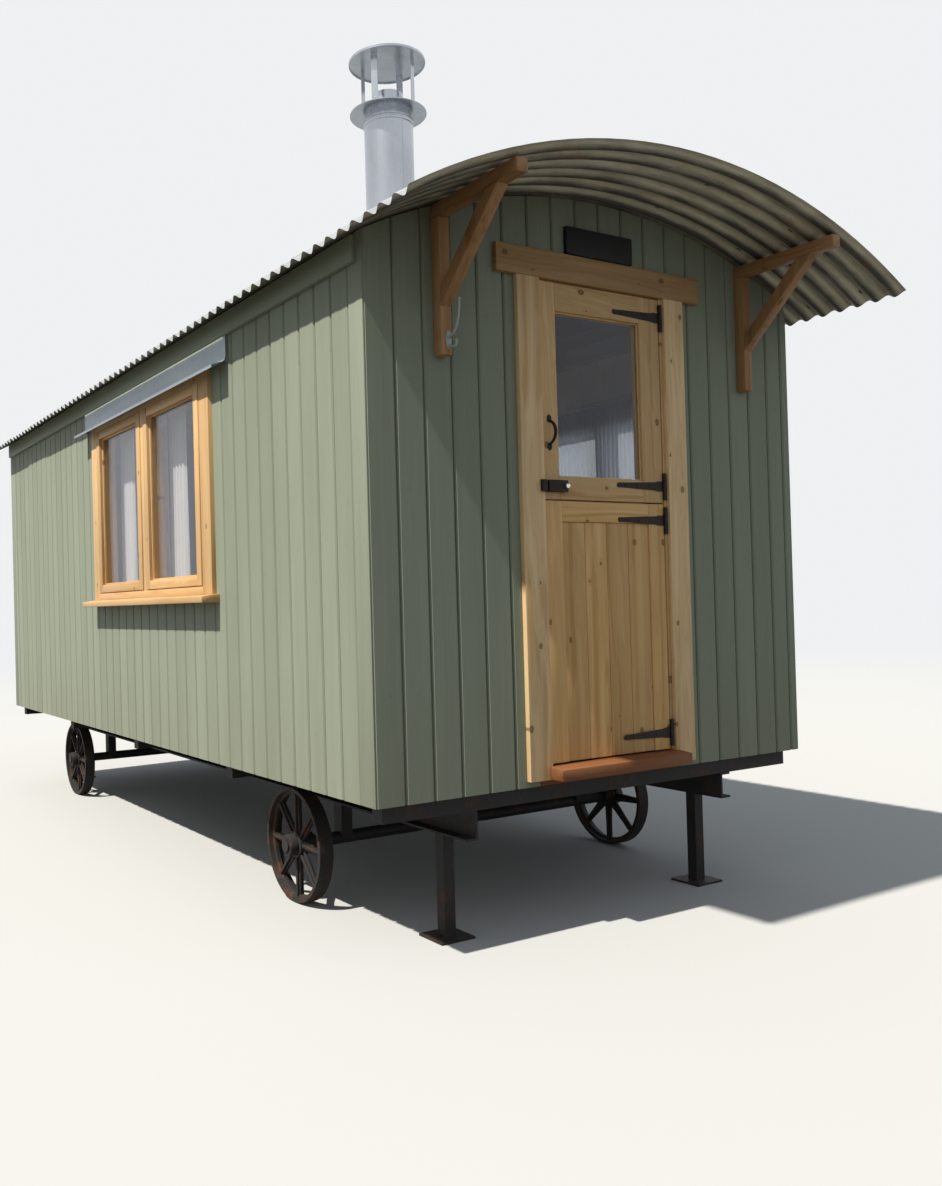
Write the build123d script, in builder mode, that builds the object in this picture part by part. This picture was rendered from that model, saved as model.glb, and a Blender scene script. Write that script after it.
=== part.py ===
from build123d import *
import math
import os

# A shepherd's hut on four iron wheels. X runs across the hut, the front wall faces -Y,
# Z = 0 is the ground, and the origin is under the middle of the roof's plan. Millimetres.

# Body
body_width = 2046
body_length = 4750
wall_base = 520
wall_t = 90
floor_t = 65

# Barrel roof
crest_radius = 2267
eaves_height = 1823
roof_panels = 10
wave_count = 69
wave_depth = 18
sheet_t = 1
eave_half_width = 1144
porch_reach = 450
rear_reach = 113
boarding_t = 60
sheet_seat = 0.6

# Eaves boards
fascia_t = 20
fascia_height = 96
fascia_inset = 33

# Doorway, from the cladding face and the wall base
door_left = -314
door_right = 292
hinge_jamb_shows = 14
door_head_height = 1760
sill_height = 67
jamb_t = 37
stop_t = 14
leaf_proud = 8
leaf_t = 44
leaf_gap = 5
latch_gap = 8
meeting_height = 989

# Door surround
trim_width = 101
trim_t = 22
trim_foot = 20
head_board_height = 98
head_board_end = 87
sill_t = 40
sill_reach = 84
sill_fall = 6
sill_end = 14

# Leaves
latch_stile = 70
hinge_stile = 100
upper_foot_rail = 78
upper_top_rail = 99
lower_stile = 78
lower_top_rail = 73
glass_t = 6
bead_width = 15
bead_t = 10
panel_t = 26
panel_boards = 4
groove_width = 5
groove_depth = 4

# Strap hinges
knuckle_radius = 6
pin_radius = 3
pin_play = 0.1
strap_length = 238
strap_root = 38
strap_tip = 18
strap_t = 3
plate_height = 100
plate_t = 3
knuckle_height = 38
knuckle_play = 1
hinge_from_end = 61
hinge_from_head = 70

# Pull handle and rim lock
handle_length = 82
handle_height = 1224
handle_reach = 34
handle_bar = 10
handle_pad = 22
handle_from_edge = 28
lock_length = 88
lock_height = 41
lock_t = 26
lock_above_meeting = 24
keep_length = 22
knob_radius = 9
knob_length = 14
knob_from_end = 11

# Name board over the door
plaque_width = 320
plaque_height = 99
plaque_t = 18
plaque_gap = 5
plaque_x = -20

# Gallows brackets under the porch
bracket_x = 733
bracket_timber = 44
bracket_foot = 1444
arm_reach = 440
brace_foot = 1600
brace_reach = 350

# Side windows: two opening sashes on the left, two fixed lights on the right
window_width = 1600
window_foot = 700
left_window_from_front = 1200
left_window_height = 930
right_window_from_front = 210
right_window_height = 820
right_frame_face = 76
right_mullion_face = 56
right_head_face = 66
right_foot_face = 48
left_frame_face = 99
left_head_face = 36
window_frame_proud = 20
window_frame_depth = 100
sash_face = 53
sash_rail = 43
sash_t = 44
left_mullion_face = 44
pane_t = 6
window_sill_reach = 60
window_sill_t = 34
window_sill_end = 30
fit_gap = 0.3

# Sheet hood over each window
left_hood_end = 185
right_hood_end = 100
hood_t = 2
hood_reach = 96
hood_drop = 137
hood_lip = 14

# Curtains inside the windows
curtain_width = 200
curtain_t = 26
curtain_drop = 60
track_depth = 45
track_height = 22
track_end = 60
net_above = 50

# Flue
flue_x = -690
flue_from_front = 330
flue_radius = 87.5
flue_wall = 25
flue_top = 2385
flue_tail = 60
flue_clearance = 4
band_height = 10
band_t = 3
band_gap = 5
neck_radius = 81
neck_height = 20
flashing_radius = 150
flashing_height = 90
flashing_t = 5
flashing_sides = 8
cowl_radius = 137
cowl_dish_t = 3
cowl_dish_rise = 22
cowl_gap = 190
liner_radius = 54
liner_rise = 72
strap_count = 4
cowl_rim = 8
cowl_strap_inset = 38
cowl_strap_turn = 30
cowl_strap_width = 25
cowl_strap_t = 3

# Undercarriage
rail_height = 100
rail_flange = 50
rail_web = 8
rail_x = 600
cross_height = 60
cross_width = 60
cross_count = 5
cross_inset = 40
wheel_radius = 225
wheel_width = 60
rim_t = 16
hub_radius = 52
hub_width = 110
spoke_count = 8
spoke_width = 34
spoke_t = 13
track_half = 830
axle_radius = 25
axle_play = 0.3
front_axle_back = 900
rear_axle_in = 850
hanger_width = 60
steady_tube = 45
steady_from_end = 200
steady_foot = 140
steady_foot_t = 8

os.makedirs("parts", exist_ok=True)

# Lines and heights that the pieces share
half_width = body_width / 2
roof_length = porch_reach + body_length + rear_reach
front_y = porch_reach - roof_length / 2
back_y = front_y + body_length
inner_front_y = front_y + wall_t
inner_back_y = back_y - wall_t
inner_x = half_width - wall_t
sheet_angle = math.degrees(math.asin(eave_half_width / crest_radius))
panel_angle = 2 * sheet_angle / roof_panels
sheet_inner = (crest_radius - wave_depth - sheet_t) * math.cos(math.radians(panel_angle / 2))
gable_radius = sheet_inner - sheet_seat
roof_z = wall_base + eaves_height - math.sqrt(gable_radius ** 2 - half_width ** 2)
boarding_inner = gable_radius - boarding_t
side_wall_radius = boarding_inner - fit_gap
floor_top = wall_base + floor_t
door_head = wall_base + door_head_height
door_foot = wall_base + sill_height
trim_front = front_y - trim_t
hinge_jamb_x = door_right - hinge_jamb_shows
leaf_left = door_left + latch_gap
leaf_right = hinge_jamb_x - leaf_gap
leaf_front = front_y - leaf_proud
leaf_back = leaf_front + leaf_t
leaf_foot = door_foot + leaf_gap
leaf_top = door_head - leaf_gap
lower_top = wall_base + meeting_height - leaf_gap / 2
upper_foot = wall_base + meeting_height + leaf_gap / 2
hinge_x = hinge_jamb_x - leaf_gap / 2
hinge_y = leaf_front - knuckle_radius
wall_plane = Plane(origin=(0, front_y, 0), x_dir=(1, 0, 0), z_dir=(0, -1, 0))


def block(x0, x1, y0, y1, z0, z1, mode=Mode.ADD):
    """A box between two corners, added to the part that is being made."""
    with Locations(((x0 + x1) / 2, (y0 + y1) / 2, (z0 + z1) / 2)):
        Box(x1 - x0, y1 - y0, z1 - z0, mode=mode)


def under_roof(x0, x1, z0, radius):
    """The gable outline between two uprights, closed by the roof's arc."""
    with Locations((0, roof_z)):
        Circle(radius)
    with Locations(((x0 + x1) / 2, z0 + radius)):
        Rectangle(x1 - x0, 2 * radius, mode=Mode.INTERSECT)


def roof_plane(half_angle):
    """The plane of a section through the roof's axis, so far to the left of its top."""
    tilt = math.radians(half_angle)
    return Plane(origin=(0, 0, roof_z), x_dir=(0, 1, 0), z_dir=(math.cos(tilt), 0, math.sin(tilt)))


roof_axis = Axis((0, 0, roof_z), (0, 1, 0))
boarding_angle = math.degrees(math.asin((half_width - fit_gap) / gable_radius))


def save(part, name):
    part.part.label = name
    export_step(part.part, f"parts/{name}.step")


# Steel chassis
rail_top = wall_base - cross_height
rail_foot = rail_top - rail_height
with BuildPart() as chassis_rails:
    for side in (-1, 1):
        web = side * rail_x
        tip = side * (rail_x + rail_flange)
        low, high = min(web, tip), max(web, tip)
        block(low, high, front_y + cross_inset, back_y - cross_inset, rail_foot, rail_top)
        hollow_low = min(web + side * rail_web, tip + side * rail_web)
        hollow_high = max(web + side * rail_web, tip + side * rail_web)
        block(hollow_low, hollow_high, front_y, back_y, rail_foot + rail_web, rail_top - rail_web,
              mode=Mode.SUBTRACT)
save(chassis_rails, "chassis_rails")

cross_run = body_length - 2 * cross_inset - cross_width
with BuildPart() as chassis_cross_members:
    for step in range(cross_count):
        middle = front_y + cross_inset + cross_width / 2 + cross_run * step / (cross_count - 1)
        block(-half_width + wall_t / 2, half_width - wall_t / 2,
              middle - cross_width / 2, middle + cross_width / 2, rail_top, wall_base)
save(chassis_cross_members, "chassis_cross_members")

# Axles with their hangers, and the spoked wheels
axle_ys = (front_y + front_axle_back, back_y - rear_axle_in)
axle_half = track_half + hub_width / 2 + 8
with BuildPart() as axles:
    for y in axle_ys:
        with Locations(Plane(origin=(0, y, wheel_radius), z_dir=(1, 0, 0))):
            Cylinder(axle_radius, 2 * axle_half)
        for side in (-1, 1):
            middle = side * (rail_x + rail_flange / 2)
            block(middle - rail_flange / 2, middle + rail_flange / 2,
                  y - hanger_width / 2, y + hanger_width / 2, wheel_radius, rail_foot)
save(axles, "axles")

# Corner steadies with their foot plates on the ground
steady_ys = (front_y + steady_from_end, back_y - steady_from_end)
with BuildPart() as corner_steadies:
    for side in (-1, 1):
        middle = side * (rail_x + rail_flange / 2)
        for y in steady_ys:
            block(middle - steady_tube / 2, middle + steady_tube / 2, y - steady_tube / 2,
                  y + steady_tube / 2, steady_foot_t, rail_foot)
            block(middle - steady_foot / 2, middle + steady_foot / 2, y - steady_foot / 2,
                  y + steady_foot / 2, 0, steady_foot_t)
save(corner_steadies, "corner_steadies")


def wheel(x, y):
    """A cast wheel: rim, hub and flat spokes, on the axle's line."""
    middle = Plane(origin=(x, y, wheel_radius), x_dir=(0, 1, 0), z_dir=(1, 0, 0))
    with Locations(middle):
        Cylinder(wheel_radius, wheel_width)
        Cylinder(wheel_radius - rim_t, wheel_width, mode=Mode.SUBTRACT)
        Cylinder(hub_radius, hub_width)
    spoke_length = wheel_radius - rim_t - hub_radius
    for step in range(spoke_count):
        turn = 2 * math.pi * step / spoke_count
        reach = hub_radius + spoke_length / 2
        centre = (x, y + reach * math.cos(turn), wheel_radius + reach * math.sin(turn))
        spoke = Plane(origin=centre, x_dir=(1, 0, 0), z_dir=(0, math.cos(turn), math.sin(turn)))
        with Locations(spoke):
            Box(spoke_width, spoke_t, spoke_length + rim_t)
    with Locations(middle):
        Cylinder(axle_radius + axle_play, hub_width, mode=Mode.SUBTRACT)


with BuildPart() as front_wheels:
    for side in (-1, 1):
        wheel(side * track_half, axle_ys[0])
save(front_wheels, "front_wheels")

with BuildPart() as rear_wheels:
    for side in (-1, 1):
        wheel(side * track_half, axle_ys[1])
save(rear_wheels, "rear_wheels")

# Floor and walls
with BuildPart() as floor:
    block(-inner_x, inner_x, inner_front_y, inner_back_y, wall_base, floor_top)
save(floor, "floor")

frame_left = door_left - jamb_t
frame_right = door_right + jamb_t
frame_head = door_head + jamb_t
with BuildPart() as front_wall_left:
    with BuildSketch(wall_plane):
        under_roof(-half_width, frame_left, wall_base, gable_radius)
    extrude(amount=-wall_t)
save(front_wall_left, "front_wall_left")

with BuildPart() as front_wall_right:
    with BuildSketch(wall_plane):
        under_roof(frame_right, half_width, wall_base, gable_radius)
    extrude(amount=-wall_t)
save(front_wall_right, "front_wall_right")

with BuildPart() as front_wall_over_door:
    with BuildSketch(wall_plane):
        under_roof(frame_left, frame_right, frame_head, gable_radius)
    extrude(amount=-wall_t)
save(front_wall_over_door, "front_wall_over_door")

with BuildPart() as back_wall:
    with BuildSketch(wall_plane.offset(-body_length + wall_t)):
        under_roof(-half_width, half_width, wall_base, gable_radius)
    extrude(amount=-wall_t)
save(back_wall, "back_wall")

window_z0 = wall_base + window_foot
left_y0 = front_y + left_window_from_front
left_y1 = left_y0 + window_width
left_z1 = window_z0 + left_window_height
right_y0 = front_y + right_window_from_front
right_y1 = right_y0 + window_width
right_z1 = window_z0 + right_window_height


def side_wall(side, window_y0, window_y1, window_z1):
    """A long wall between the end walls, with its window opening."""
    outer, inner = side * half_width, side * inner_x
    low, high = min(outer, inner), max(outer, inner)
    with BuildSketch(wall_plane.offset(-wall_t)) as outline:
        under_roof(low, high, wall_base, side_wall_radius)
    extrude(outline.sketch, amount=-(body_length - 2 * wall_t))
    block(low, high, window_y0, window_y1, window_z0, window_z1, mode=Mode.SUBTRACT)


with BuildPart() as left_wall:
    side_wall(-1, left_y0, left_y1, left_z1)
save(left_wall, "left_wall")

with BuildPart() as right_wall:
    side_wall(1, right_y0, right_y1, right_z1)
save(right_wall, "right_wall")

# Roof: boarding between the end walls, sheet over all, eaves boards
flue_y = front_y + flue_from_front
with BuildPart() as roof_boarding:
    with BuildSketch(roof_plane(boarding_angle)):
        with Locations(((inner_front_y + inner_back_y) / 2, gable_radius - boarding_t / 2)):
            Rectangle(inner_back_y - inner_front_y, boarding_t)
    revolve(axis=roof_axis, revolution_arc=2 * boarding_angle)
    with Locations((flue_x, flue_y, roof_z + crest_radius)):
        Cylinder(flue_radius + flue_clearance, crest_radius / 2, mode=Mode.SUBTRACT)
save(roof_boarding, "roof_boarding")

wave_pitch = roof_length / wave_count


def wave_line(lift):
    """The folds of the sheet along the hut, from the crest at one end to the crest at the other."""
    points = []
    for fold in range(2 * wave_count + 1):
        radius = crest_radius - sheet_t - wave_depth * (fold % 2) + lift
        points.append((fold * wave_pitch / 2 - roof_length / 2, radius))
    return points


with BuildPart() as roof_sheet:
    for joint in range(roof_panels + 1):
        with BuildSketch(roof_plane(sheet_angle - joint * panel_angle)):
            with BuildLine():
                Polyline(*wave_line(sheet_t), *reversed(wave_line(0)), close=True)
            make_face()
    loft(ruled=True)
    with Locations((flue_x, flue_y, roof_z + crest_radius)):
        Cylinder(flue_radius + flue_clearance, crest_radius / 2, mode=Mode.SUBTRACT)
save(roof_sheet, "roof_sheet")

fascia_foot = wall_base + eaves_height - fascia_height
with BuildPart() as fascias:
    for side in (-1, 1):
        inner, outer = side * half_width, side * (half_width + fascia_t)
        with BuildSketch(wall_plane.offset(-fascia_inset)):
            under_roof(min(inner, outer), max(inner, outer), fascia_foot, gable_radius)
        extrude(amount=-(body_length - 2 * fascia_inset))
save(fascias, "fascias")

# Door frame, surround and sill
stop_y = leaf_back + leaf_gap
with BuildPart() as door_jambs:
    block(frame_left, door_left, front_y, inner_front_y, door_foot, frame_head)
    block(door_left, door_left + stop_t, stop_y, inner_front_y, door_foot, door_head)
    block(door_right, frame_right, front_y, inner_front_y, door_foot, frame_head)
    block(hinge_jamb_x, door_right, leaf_front, inner_front_y, door_foot, door_head)
    block(hinge_jamb_x - stop_t, hinge_jamb_x, stop_y, inner_front_y, door_foot, door_head)
save(door_jambs, "door_jambs")

with BuildPart() as door_frame_head:
    block(door_left, door_right, front_y, inner_front_y, door_head, frame_head)
    block(door_left + stop_t, hinge_jamb_x - stop_t, stop_y, inner_front_y, door_head - stop_t,
          door_head)
save(door_frame_head, "door_frame_head")

with BuildPart() as door_sill:
    with BuildSketch(Plane(origin=(door_left - sill_end, 0, 0), x_dir=(0, 1, 0), z_dir=(1, 0, 0))):
        with BuildLine():
            Polyline(
                (trim_front, door_foot),
                (front_y - sill_reach, door_foot - sill_fall),
                (front_y - sill_reach, door_foot - sill_fall - sill_t),
                (trim_front, door_foot - sill_fall - sill_t),
                close=True,
            )
        make_face()
    extrude(amount=door_right - door_left + 2 * sill_end)
    block(door_left, door_right, trim_front, inner_front_y, wall_base + trim_foot, door_foot)
    block(frame_left, frame_right, front_y, inner_front_y, wall_base, door_foot)
save(door_sill, "door_sill")

with BuildPart() as door_trims:
    for inner, outer in ((door_left, door_left - trim_width), (door_right, door_right + trim_width)):
        block(min(inner, outer), max(inner, outer), trim_front, front_y, wall_base + trim_foot,
              door_head)
save(door_trims, "door_trims")

head_left = door_left - trim_width - head_board_end
head_right = door_right + trim_width + head_board_end
with BuildPart() as head_board:
    block(head_left, head_right, trim_front, front_y, door_head, door_head + head_board_height)
save(head_board, "head_board")

plaque_foot = door_head + head_board_height + plaque_gap
with BuildPart() as name_plaque:
    block(plaque_x - plaque_width / 2, plaque_x + plaque_width / 2,
          front_y - plaque_t, front_y, plaque_foot, plaque_foot + plaque_height)
save(name_plaque, "name_plaque")

# Stable door: a glazed upper leaf over a boarded lower leaf
pane_left = leaf_left + latch_stile
pane_right = leaf_right - hinge_stile
pane_foot = upper_foot + upper_foot_rail
pane_top = leaf_top - upper_top_rail
glass_y = leaf_front + leaf_t / 2
with BuildPart() as upper_leaf_frame:
    block(leaf_left, leaf_right, leaf_front, leaf_back, upper_foot, leaf_top)
    block(pane_left, pane_right, leaf_front, leaf_back, pane_foot, pane_top, mode=Mode.SUBTRACT)
    block(pane_left, pane_right, glass_y + glass_t / 2, leaf_back, pane_foot, pane_top)
    block(pane_left + bead_width, pane_right - bead_width, glass_y + glass_t / 2, leaf_back,
          pane_foot + bead_width, pane_top - bead_width, mode=Mode.SUBTRACT)
save(upper_leaf_frame, "upper_leaf_frame")

with BuildPart() as upper_leaf_glass:
    block(pane_left + fit_gap, pane_right - fit_gap, glass_y - glass_t / 2, glass_y + glass_t / 2,
          pane_foot + fit_gap, pane_top - fit_gap)
save(upper_leaf_glass, "upper_leaf_glass")

bead_front = glass_y - glass_t / 2 - bead_t
with BuildPart() as upper_leaf_bead:
    block(pane_left + fit_gap, pane_right - fit_gap, bead_front, glass_y - glass_t / 2,
          pane_foot + fit_gap, pane_top - fit_gap)
    block(pane_left + bead_width, pane_right - bead_width, bead_front, glass_y - glass_t / 2,
          pane_foot + bead_width, pane_top - bead_width, mode=Mode.SUBTRACT)
save(upper_leaf_bead, "upper_leaf_bead")

panel_left = leaf_left + lower_stile
panel_right = leaf_right - lower_stile
panel_top = lower_top - lower_top_rail
panel_front = leaf_front + groove_depth
panel_back = leaf_front + panel_t
with BuildPart() as lower_leaf_frame:
    block(leaf_left, leaf_right, leaf_front, leaf_back, leaf_foot, lower_top)
    block(panel_left, panel_right, leaf_front, panel_back, leaf_foot, panel_top, mode=Mode.SUBTRACT)
save(lower_leaf_frame, "lower_leaf_frame")

board_width = (panel_right - panel_left) / panel_boards
with BuildPart() as lower_leaf_boards:
    block(panel_left + fit_gap, panel_right - fit_gap, panel_front, panel_back, leaf_foot,
          panel_top - fit_gap)
    for step in range(1, panel_boards):
        joint_x = panel_left + step * board_width
        with BuildSketch(Plane.XY.offset(leaf_foot)):
            with BuildLine():
                Polyline(
                    (joint_x - groove_width / 2, panel_front),
                    (joint_x + groove_width / 2, panel_front),
                    (joint_x, panel_front + groove_depth),
                    close=True,
                )
            make_face()
        extrude(amount=panel_top - leaf_foot, mode=Mode.SUBTRACT)
save(lower_leaf_boards, "lower_leaf_boards")

# Strap hinges: each has a plate on the jamb and a long strap on the leaf
upper_hinges = (leaf_top - hinge_from_head, upper_foot + hinge_from_end)
lower_hinges = (lower_top - hinge_from_end, leaf_foot + hinge_from_end)


def strap_hinge(height):
    """The moving half: a tapered strap and the middle knuckle."""
    with BuildSketch(Plane(origin=(0, leaf_front, 0), x_dir=(1, 0, 0), z_dir=(0, -1, 0))) as outline:
        with BuildLine():
            Polyline(
                (hinge_x, height - strap_root / 2),
                (hinge_x, height + strap_root / 2),
                (hinge_x - strap_length + strap_tip / 2, height + strap_tip / 2),
                (hinge_x - strap_length, height),
                (hinge_x - strap_length + strap_tip / 2, height - strap_tip / 2),
                close=True,
            )
        make_face()
    extrude(outline.sketch, amount=strap_t)
    with Locations((hinge_x, hinge_y, height)):
        Cylinder(knuckle_radius, knuckle_height)
        Cylinder(pin_radius + pin_play, knuckle_height, mode=Mode.SUBTRACT)


with BuildPart() as upper_leaf_straps:
    for height in upper_hinges:
        strap_hinge(height)
save(upper_leaf_straps, "upper_leaf_straps")

with BuildPart() as lower_leaf_straps:
    for height in lower_hinges:
        strap_hinge(height)
save(lower_leaf_straps, "lower_leaf_straps")

knuckle_gap = knuckle_height / 2 + knuckle_play
with BuildPart() as hinge_plates:
    for height in upper_hinges + lower_hinges:
        block(hinge_jamb_x + knuckle_radius, door_right, leaf_front - plate_t, leaf_front,
              height - plate_height / 2, height + plate_height / 2)
        for end in (-1, 1):
            near, far = height + end * knuckle_gap, height + end * plate_height / 2
            with Locations((hinge_x, hinge_y, (near + far) / 2)):
                Cylinder(knuckle_radius, abs(far - near))
            block(hinge_x, hinge_jamb_x + knuckle_radius, leaf_front - plate_t, leaf_front,
                  min(near, far), max(near, far))
        with Locations((hinge_x, hinge_y, height)):
            Cylinder(pin_radius, plate_height)
save(hinge_plates, "hinge_plates")

# Bow handle and rim lock
handle_x = leaf_left + handle_from_edge
handle_z = wall_base + handle_height
handle_foot = handle_z - handle_length / 2
handle_top = handle_foot + handle_length
with BuildPart() as pull_handle:
    with BuildSketch(Plane(origin=(handle_x - handle_bar / 2, 0, 0), x_dir=(0, 1, 0), z_dir=(1, 0, 0))):
        with BuildLine():
            ThreePointArc(
                (leaf_front, handle_foot),
                (leaf_front - handle_reach, handle_z),
                (leaf_front, handle_top),
            )
            Line((leaf_front, handle_top), (leaf_front, handle_top - handle_bar))
            ThreePointArc(
                (leaf_front, handle_top - handle_bar),
                (leaf_front - handle_reach + handle_bar, handle_z),
                (leaf_front, handle_foot + handle_bar),
            )
            Line((leaf_front, handle_foot + handle_bar), (leaf_front, handle_foot))
        make_face()
    extrude(amount=handle_bar)
    for end in (handle_foot - handle_pad / 2, handle_top + handle_pad / 2):
        block(handle_x - handle_bar, handle_x + handle_bar, leaf_front - plate_t, leaf_front,
              end - handle_pad / 2, end + handle_pad / 2)
save(pull_handle, "pull_handle")

lock_foot = upper_foot + lock_above_meeting
lock_right = leaf_left + lock_length
with BuildPart() as door_lock:
    block(leaf_left, lock_right, leaf_front - lock_t, leaf_front, lock_foot, lock_foot + lock_height)
    knob_at = (lock_right - knob_from_end, leaf_front - lock_t - knob_length / 2,
               lock_foot + lock_height / 2)
    with Locations(Plane(origin=knob_at, z_dir=(0, -1, 0))):
        Cylinder(knob_radius, knob_length)
save(door_lock, "door_lock")

with BuildPart() as lock_keep:
    block(door_left - keep_length, door_left, leaf_front - lock_t, trim_front, lock_foot,
          lock_foot + lock_height)
save(lock_keep, "lock_keep")

# Porch brackets: post on the wall, arm on top of it, brace between them
arm_z1 = roof_z + math.sqrt(gable_radius ** 2 - (bracket_x + bracket_timber / 2) ** 2)
arm_z0 = arm_z1 - bracket_timber
post_front = front_y - bracket_timber
with BuildPart() as bracket_posts:
    for side in (-1, 1):
        middle = side * bracket_x
        block(middle - bracket_timber / 2, middle + bracket_timber / 2, post_front, front_y,
              wall_base + bracket_foot, arm_z0)
save(bracket_posts, "bracket_posts")

with BuildPart() as bracket_arms:
    for side in (-1, 1):
        middle = side * bracket_x
        block(middle - bracket_timber / 2, middle + bracket_timber / 2, front_y - arm_reach, front_y,
              arm_z0, arm_z1)
save(bracket_arms, "bracket_arms")

brace_foot_z = wall_base + brace_foot
brace_top_y = front_y - brace_reach
brace_rise = arm_z0 - brace_foot_z
brace_run = post_front - brace_top_y
brace_slant = math.hypot(brace_rise, brace_run)
brace_cut_z = bracket_timber * brace_slant / brace_run
brace_cut_y = bracket_timber * brace_slant / brace_rise
with BuildPart() as bracket_braces:
    for side in (-1, 1):
        origin = (side * bracket_x - bracket_timber / 2, 0, 0)
        with BuildSketch(Plane(origin=origin, x_dir=(0, 1, 0), z_dir=(1, 0, 0))):
            with BuildLine():
                Polyline(
                    (post_front, brace_foot_z),
                    (post_front, brace_foot_z + brace_cut_z),
                    (brace_top_y + brace_cut_y, arm_z0),
                    (brace_top_y, arm_z0),
                    close=True,
                )
            make_face()
        extrude(amount=bracket_timber)
save(bracket_braces, "bracket_braces")

# Windows
def span(side, out0, out1):
    """Two X values at distances outside the wall face, in rising order."""
    a, b = side * (half_width + out0), side * (half_width + out1)
    return min(a, b), max(a, b)


def two_lights(y0, y1, face, mullion):
    """The clear spans on both sides of the mullion."""
    middle = (y0 + y1) / 2
    return (
        (y0 + face, middle - mullion / 2),
        (middle + mullion / 2, y1 - face),
    )


left_lights = two_lights(left_y0, left_y1, left_frame_face, left_mullion_face)
right_lights = two_lights(right_y0, right_y1, right_frame_face, right_mullion_face)
sash_z0 = window_z0 + left_head_face
sash_z1 = left_z1 - left_head_face
left_pane_z0 = sash_z0 + sash_rail
left_pane_z1 = sash_z1 - sash_rail
right_pane_z0 = window_z0 + right_foot_face
right_pane_z1 = right_z1 - right_head_face

with BuildPart() as left_window_frame:
    x0, x1 = span(-1, window_frame_proud - window_frame_depth, window_frame_proud)
    s0, s1 = span(-1, window_frame_proud - sash_t, window_frame_proud)
    block(x0, x1, left_y0 + fit_gap, left_y1 - fit_gap, window_z0 + fit_gap, left_z1 - fit_gap)
    for y0, y1 in left_lights:
        block(x0, x1, y0, y1, sash_z0, sash_z1, mode=Mode.SUBTRACT)
        block(s0, s1, y0, y1, sash_z0, sash_z1)
        block(s0, s1, y0 + sash_face, y1 - sash_face, left_pane_z0, left_pane_z1, mode=Mode.SUBTRACT)
save(left_window_frame, "left_window_frame")

with BuildPart() as right_window_frame:
    x0, x1 = span(1, window_frame_proud - window_frame_depth, window_frame_proud)
    block(x0, x1, right_y0 + fit_gap, right_y1 - fit_gap, window_z0 + fit_gap, right_z1 - fit_gap)
    for y0, y1 in right_lights:
        block(x0, x1, y0, y1, right_pane_z0, right_pane_z1, mode=Mode.SUBTRACT)
save(right_window_frame, "right_window_frame")

glass_out = window_frame_proud - sash_t / 2
with BuildPart() as window_glass:
    x0, x1 = span(-1, glass_out - pane_t, glass_out)
    for y0, y1 in left_lights:
        block(x0, x1, y0 + sash_face + fit_gap, y1 - sash_face - fit_gap,
              left_pane_z0 + fit_gap, left_pane_z1 - fit_gap)
    x0, x1 = span(1, glass_out - pane_t, glass_out)
    for y0, y1 in right_lights:
        block(x0, x1, y0 + fit_gap, y1 - fit_gap, right_pane_z0 + fit_gap, right_pane_z1 - fit_gap)
save(window_glass, "window_glass")

with BuildPart() as window_sills:
    for side, y0, y1 in ((-1, left_y0, left_y1), (1, right_y0, right_y1)):
        x0, x1 = span(side, 0, window_frame_proud + window_sill_reach)
        block(x0, x1, y0 - window_sill_end, y1 + window_sill_end, window_z0 - window_sill_t, window_z0)
save(window_sills, "window_sills")

hood_top = fascia_foot - fit_gap
hood_foot = hood_top - hood_drop
hood_spans = (
    (-1, left_y0 - left_hood_end, left_y1 + left_hood_end),
    (1, right_y0 - right_hood_end, right_y1 + right_hood_end),
)
with BuildPart() as window_hoods:
    for side, y0, y1 in hood_spans:
        face = side * half_width
        shoulder = side * (half_width + fascia_t)
        out = side * (half_width + hood_reach)
        skin = side * hood_t
        with BuildSketch(Plane(origin=(0, y0, 0), x_dir=(1, 0, 0), z_dir=(0, -1, 0))):
            with BuildLine():
                Polyline(
                    (face, hood_top),
                    (shoulder, hood_top),
                    (out, hood_foot),
                    (out, hood_foot - hood_lip),
                    (out - skin, hood_foot - hood_lip),
                    (out - skin, hood_foot - hood_t / 2),
                    (shoulder - skin, hood_top - hood_t),
                    (face + skin, hood_top - hood_t),
                    (face + skin, hood_top - hood_lip),
                    (face, hood_top - hood_lip),
                    close=True,
                )
            make_face()
        extrude(amount=-(y1 - y0))
save(window_hoods, "window_hoods")

left_curtain_top = left_z1 + track_height
right_curtain_top = right_z1 + net_above
with BuildPart() as curtain_tracks:
    for side, y0, y1, top in (
        (-1, left_y0, left_y1, left_curtain_top),
        (1, right_y0 + track_end, right_y1, right_curtain_top),
    ):
        x0, x1 = span(side, -wall_t - track_depth, -wall_t)
        block(x0, x1, y0 - track_end, y1 + track_end, top, top + track_height)
save(curtain_tracks, "curtain_tracks")

curtain_middle = -wall_t - track_depth / 2
curtain_foot = window_z0 - curtain_drop
with BuildPart() as curtains:
    x0, x1 = span(-1, curtain_middle - curtain_t / 2, curtain_middle + curtain_t / 2)
    for y0, y1 in left_lights:
        for near in (y0, y1 - curtain_width):
            block(x0, x1, near, near + curtain_width, curtain_foot, left_curtain_top)
    x0, x1 = span(1, curtain_middle - curtain_t / 2, curtain_middle + curtain_t / 2)
    block(x0, x1, right_y0, right_y1, curtain_foot, right_curtain_top)
save(curtains, "curtains")

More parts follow.
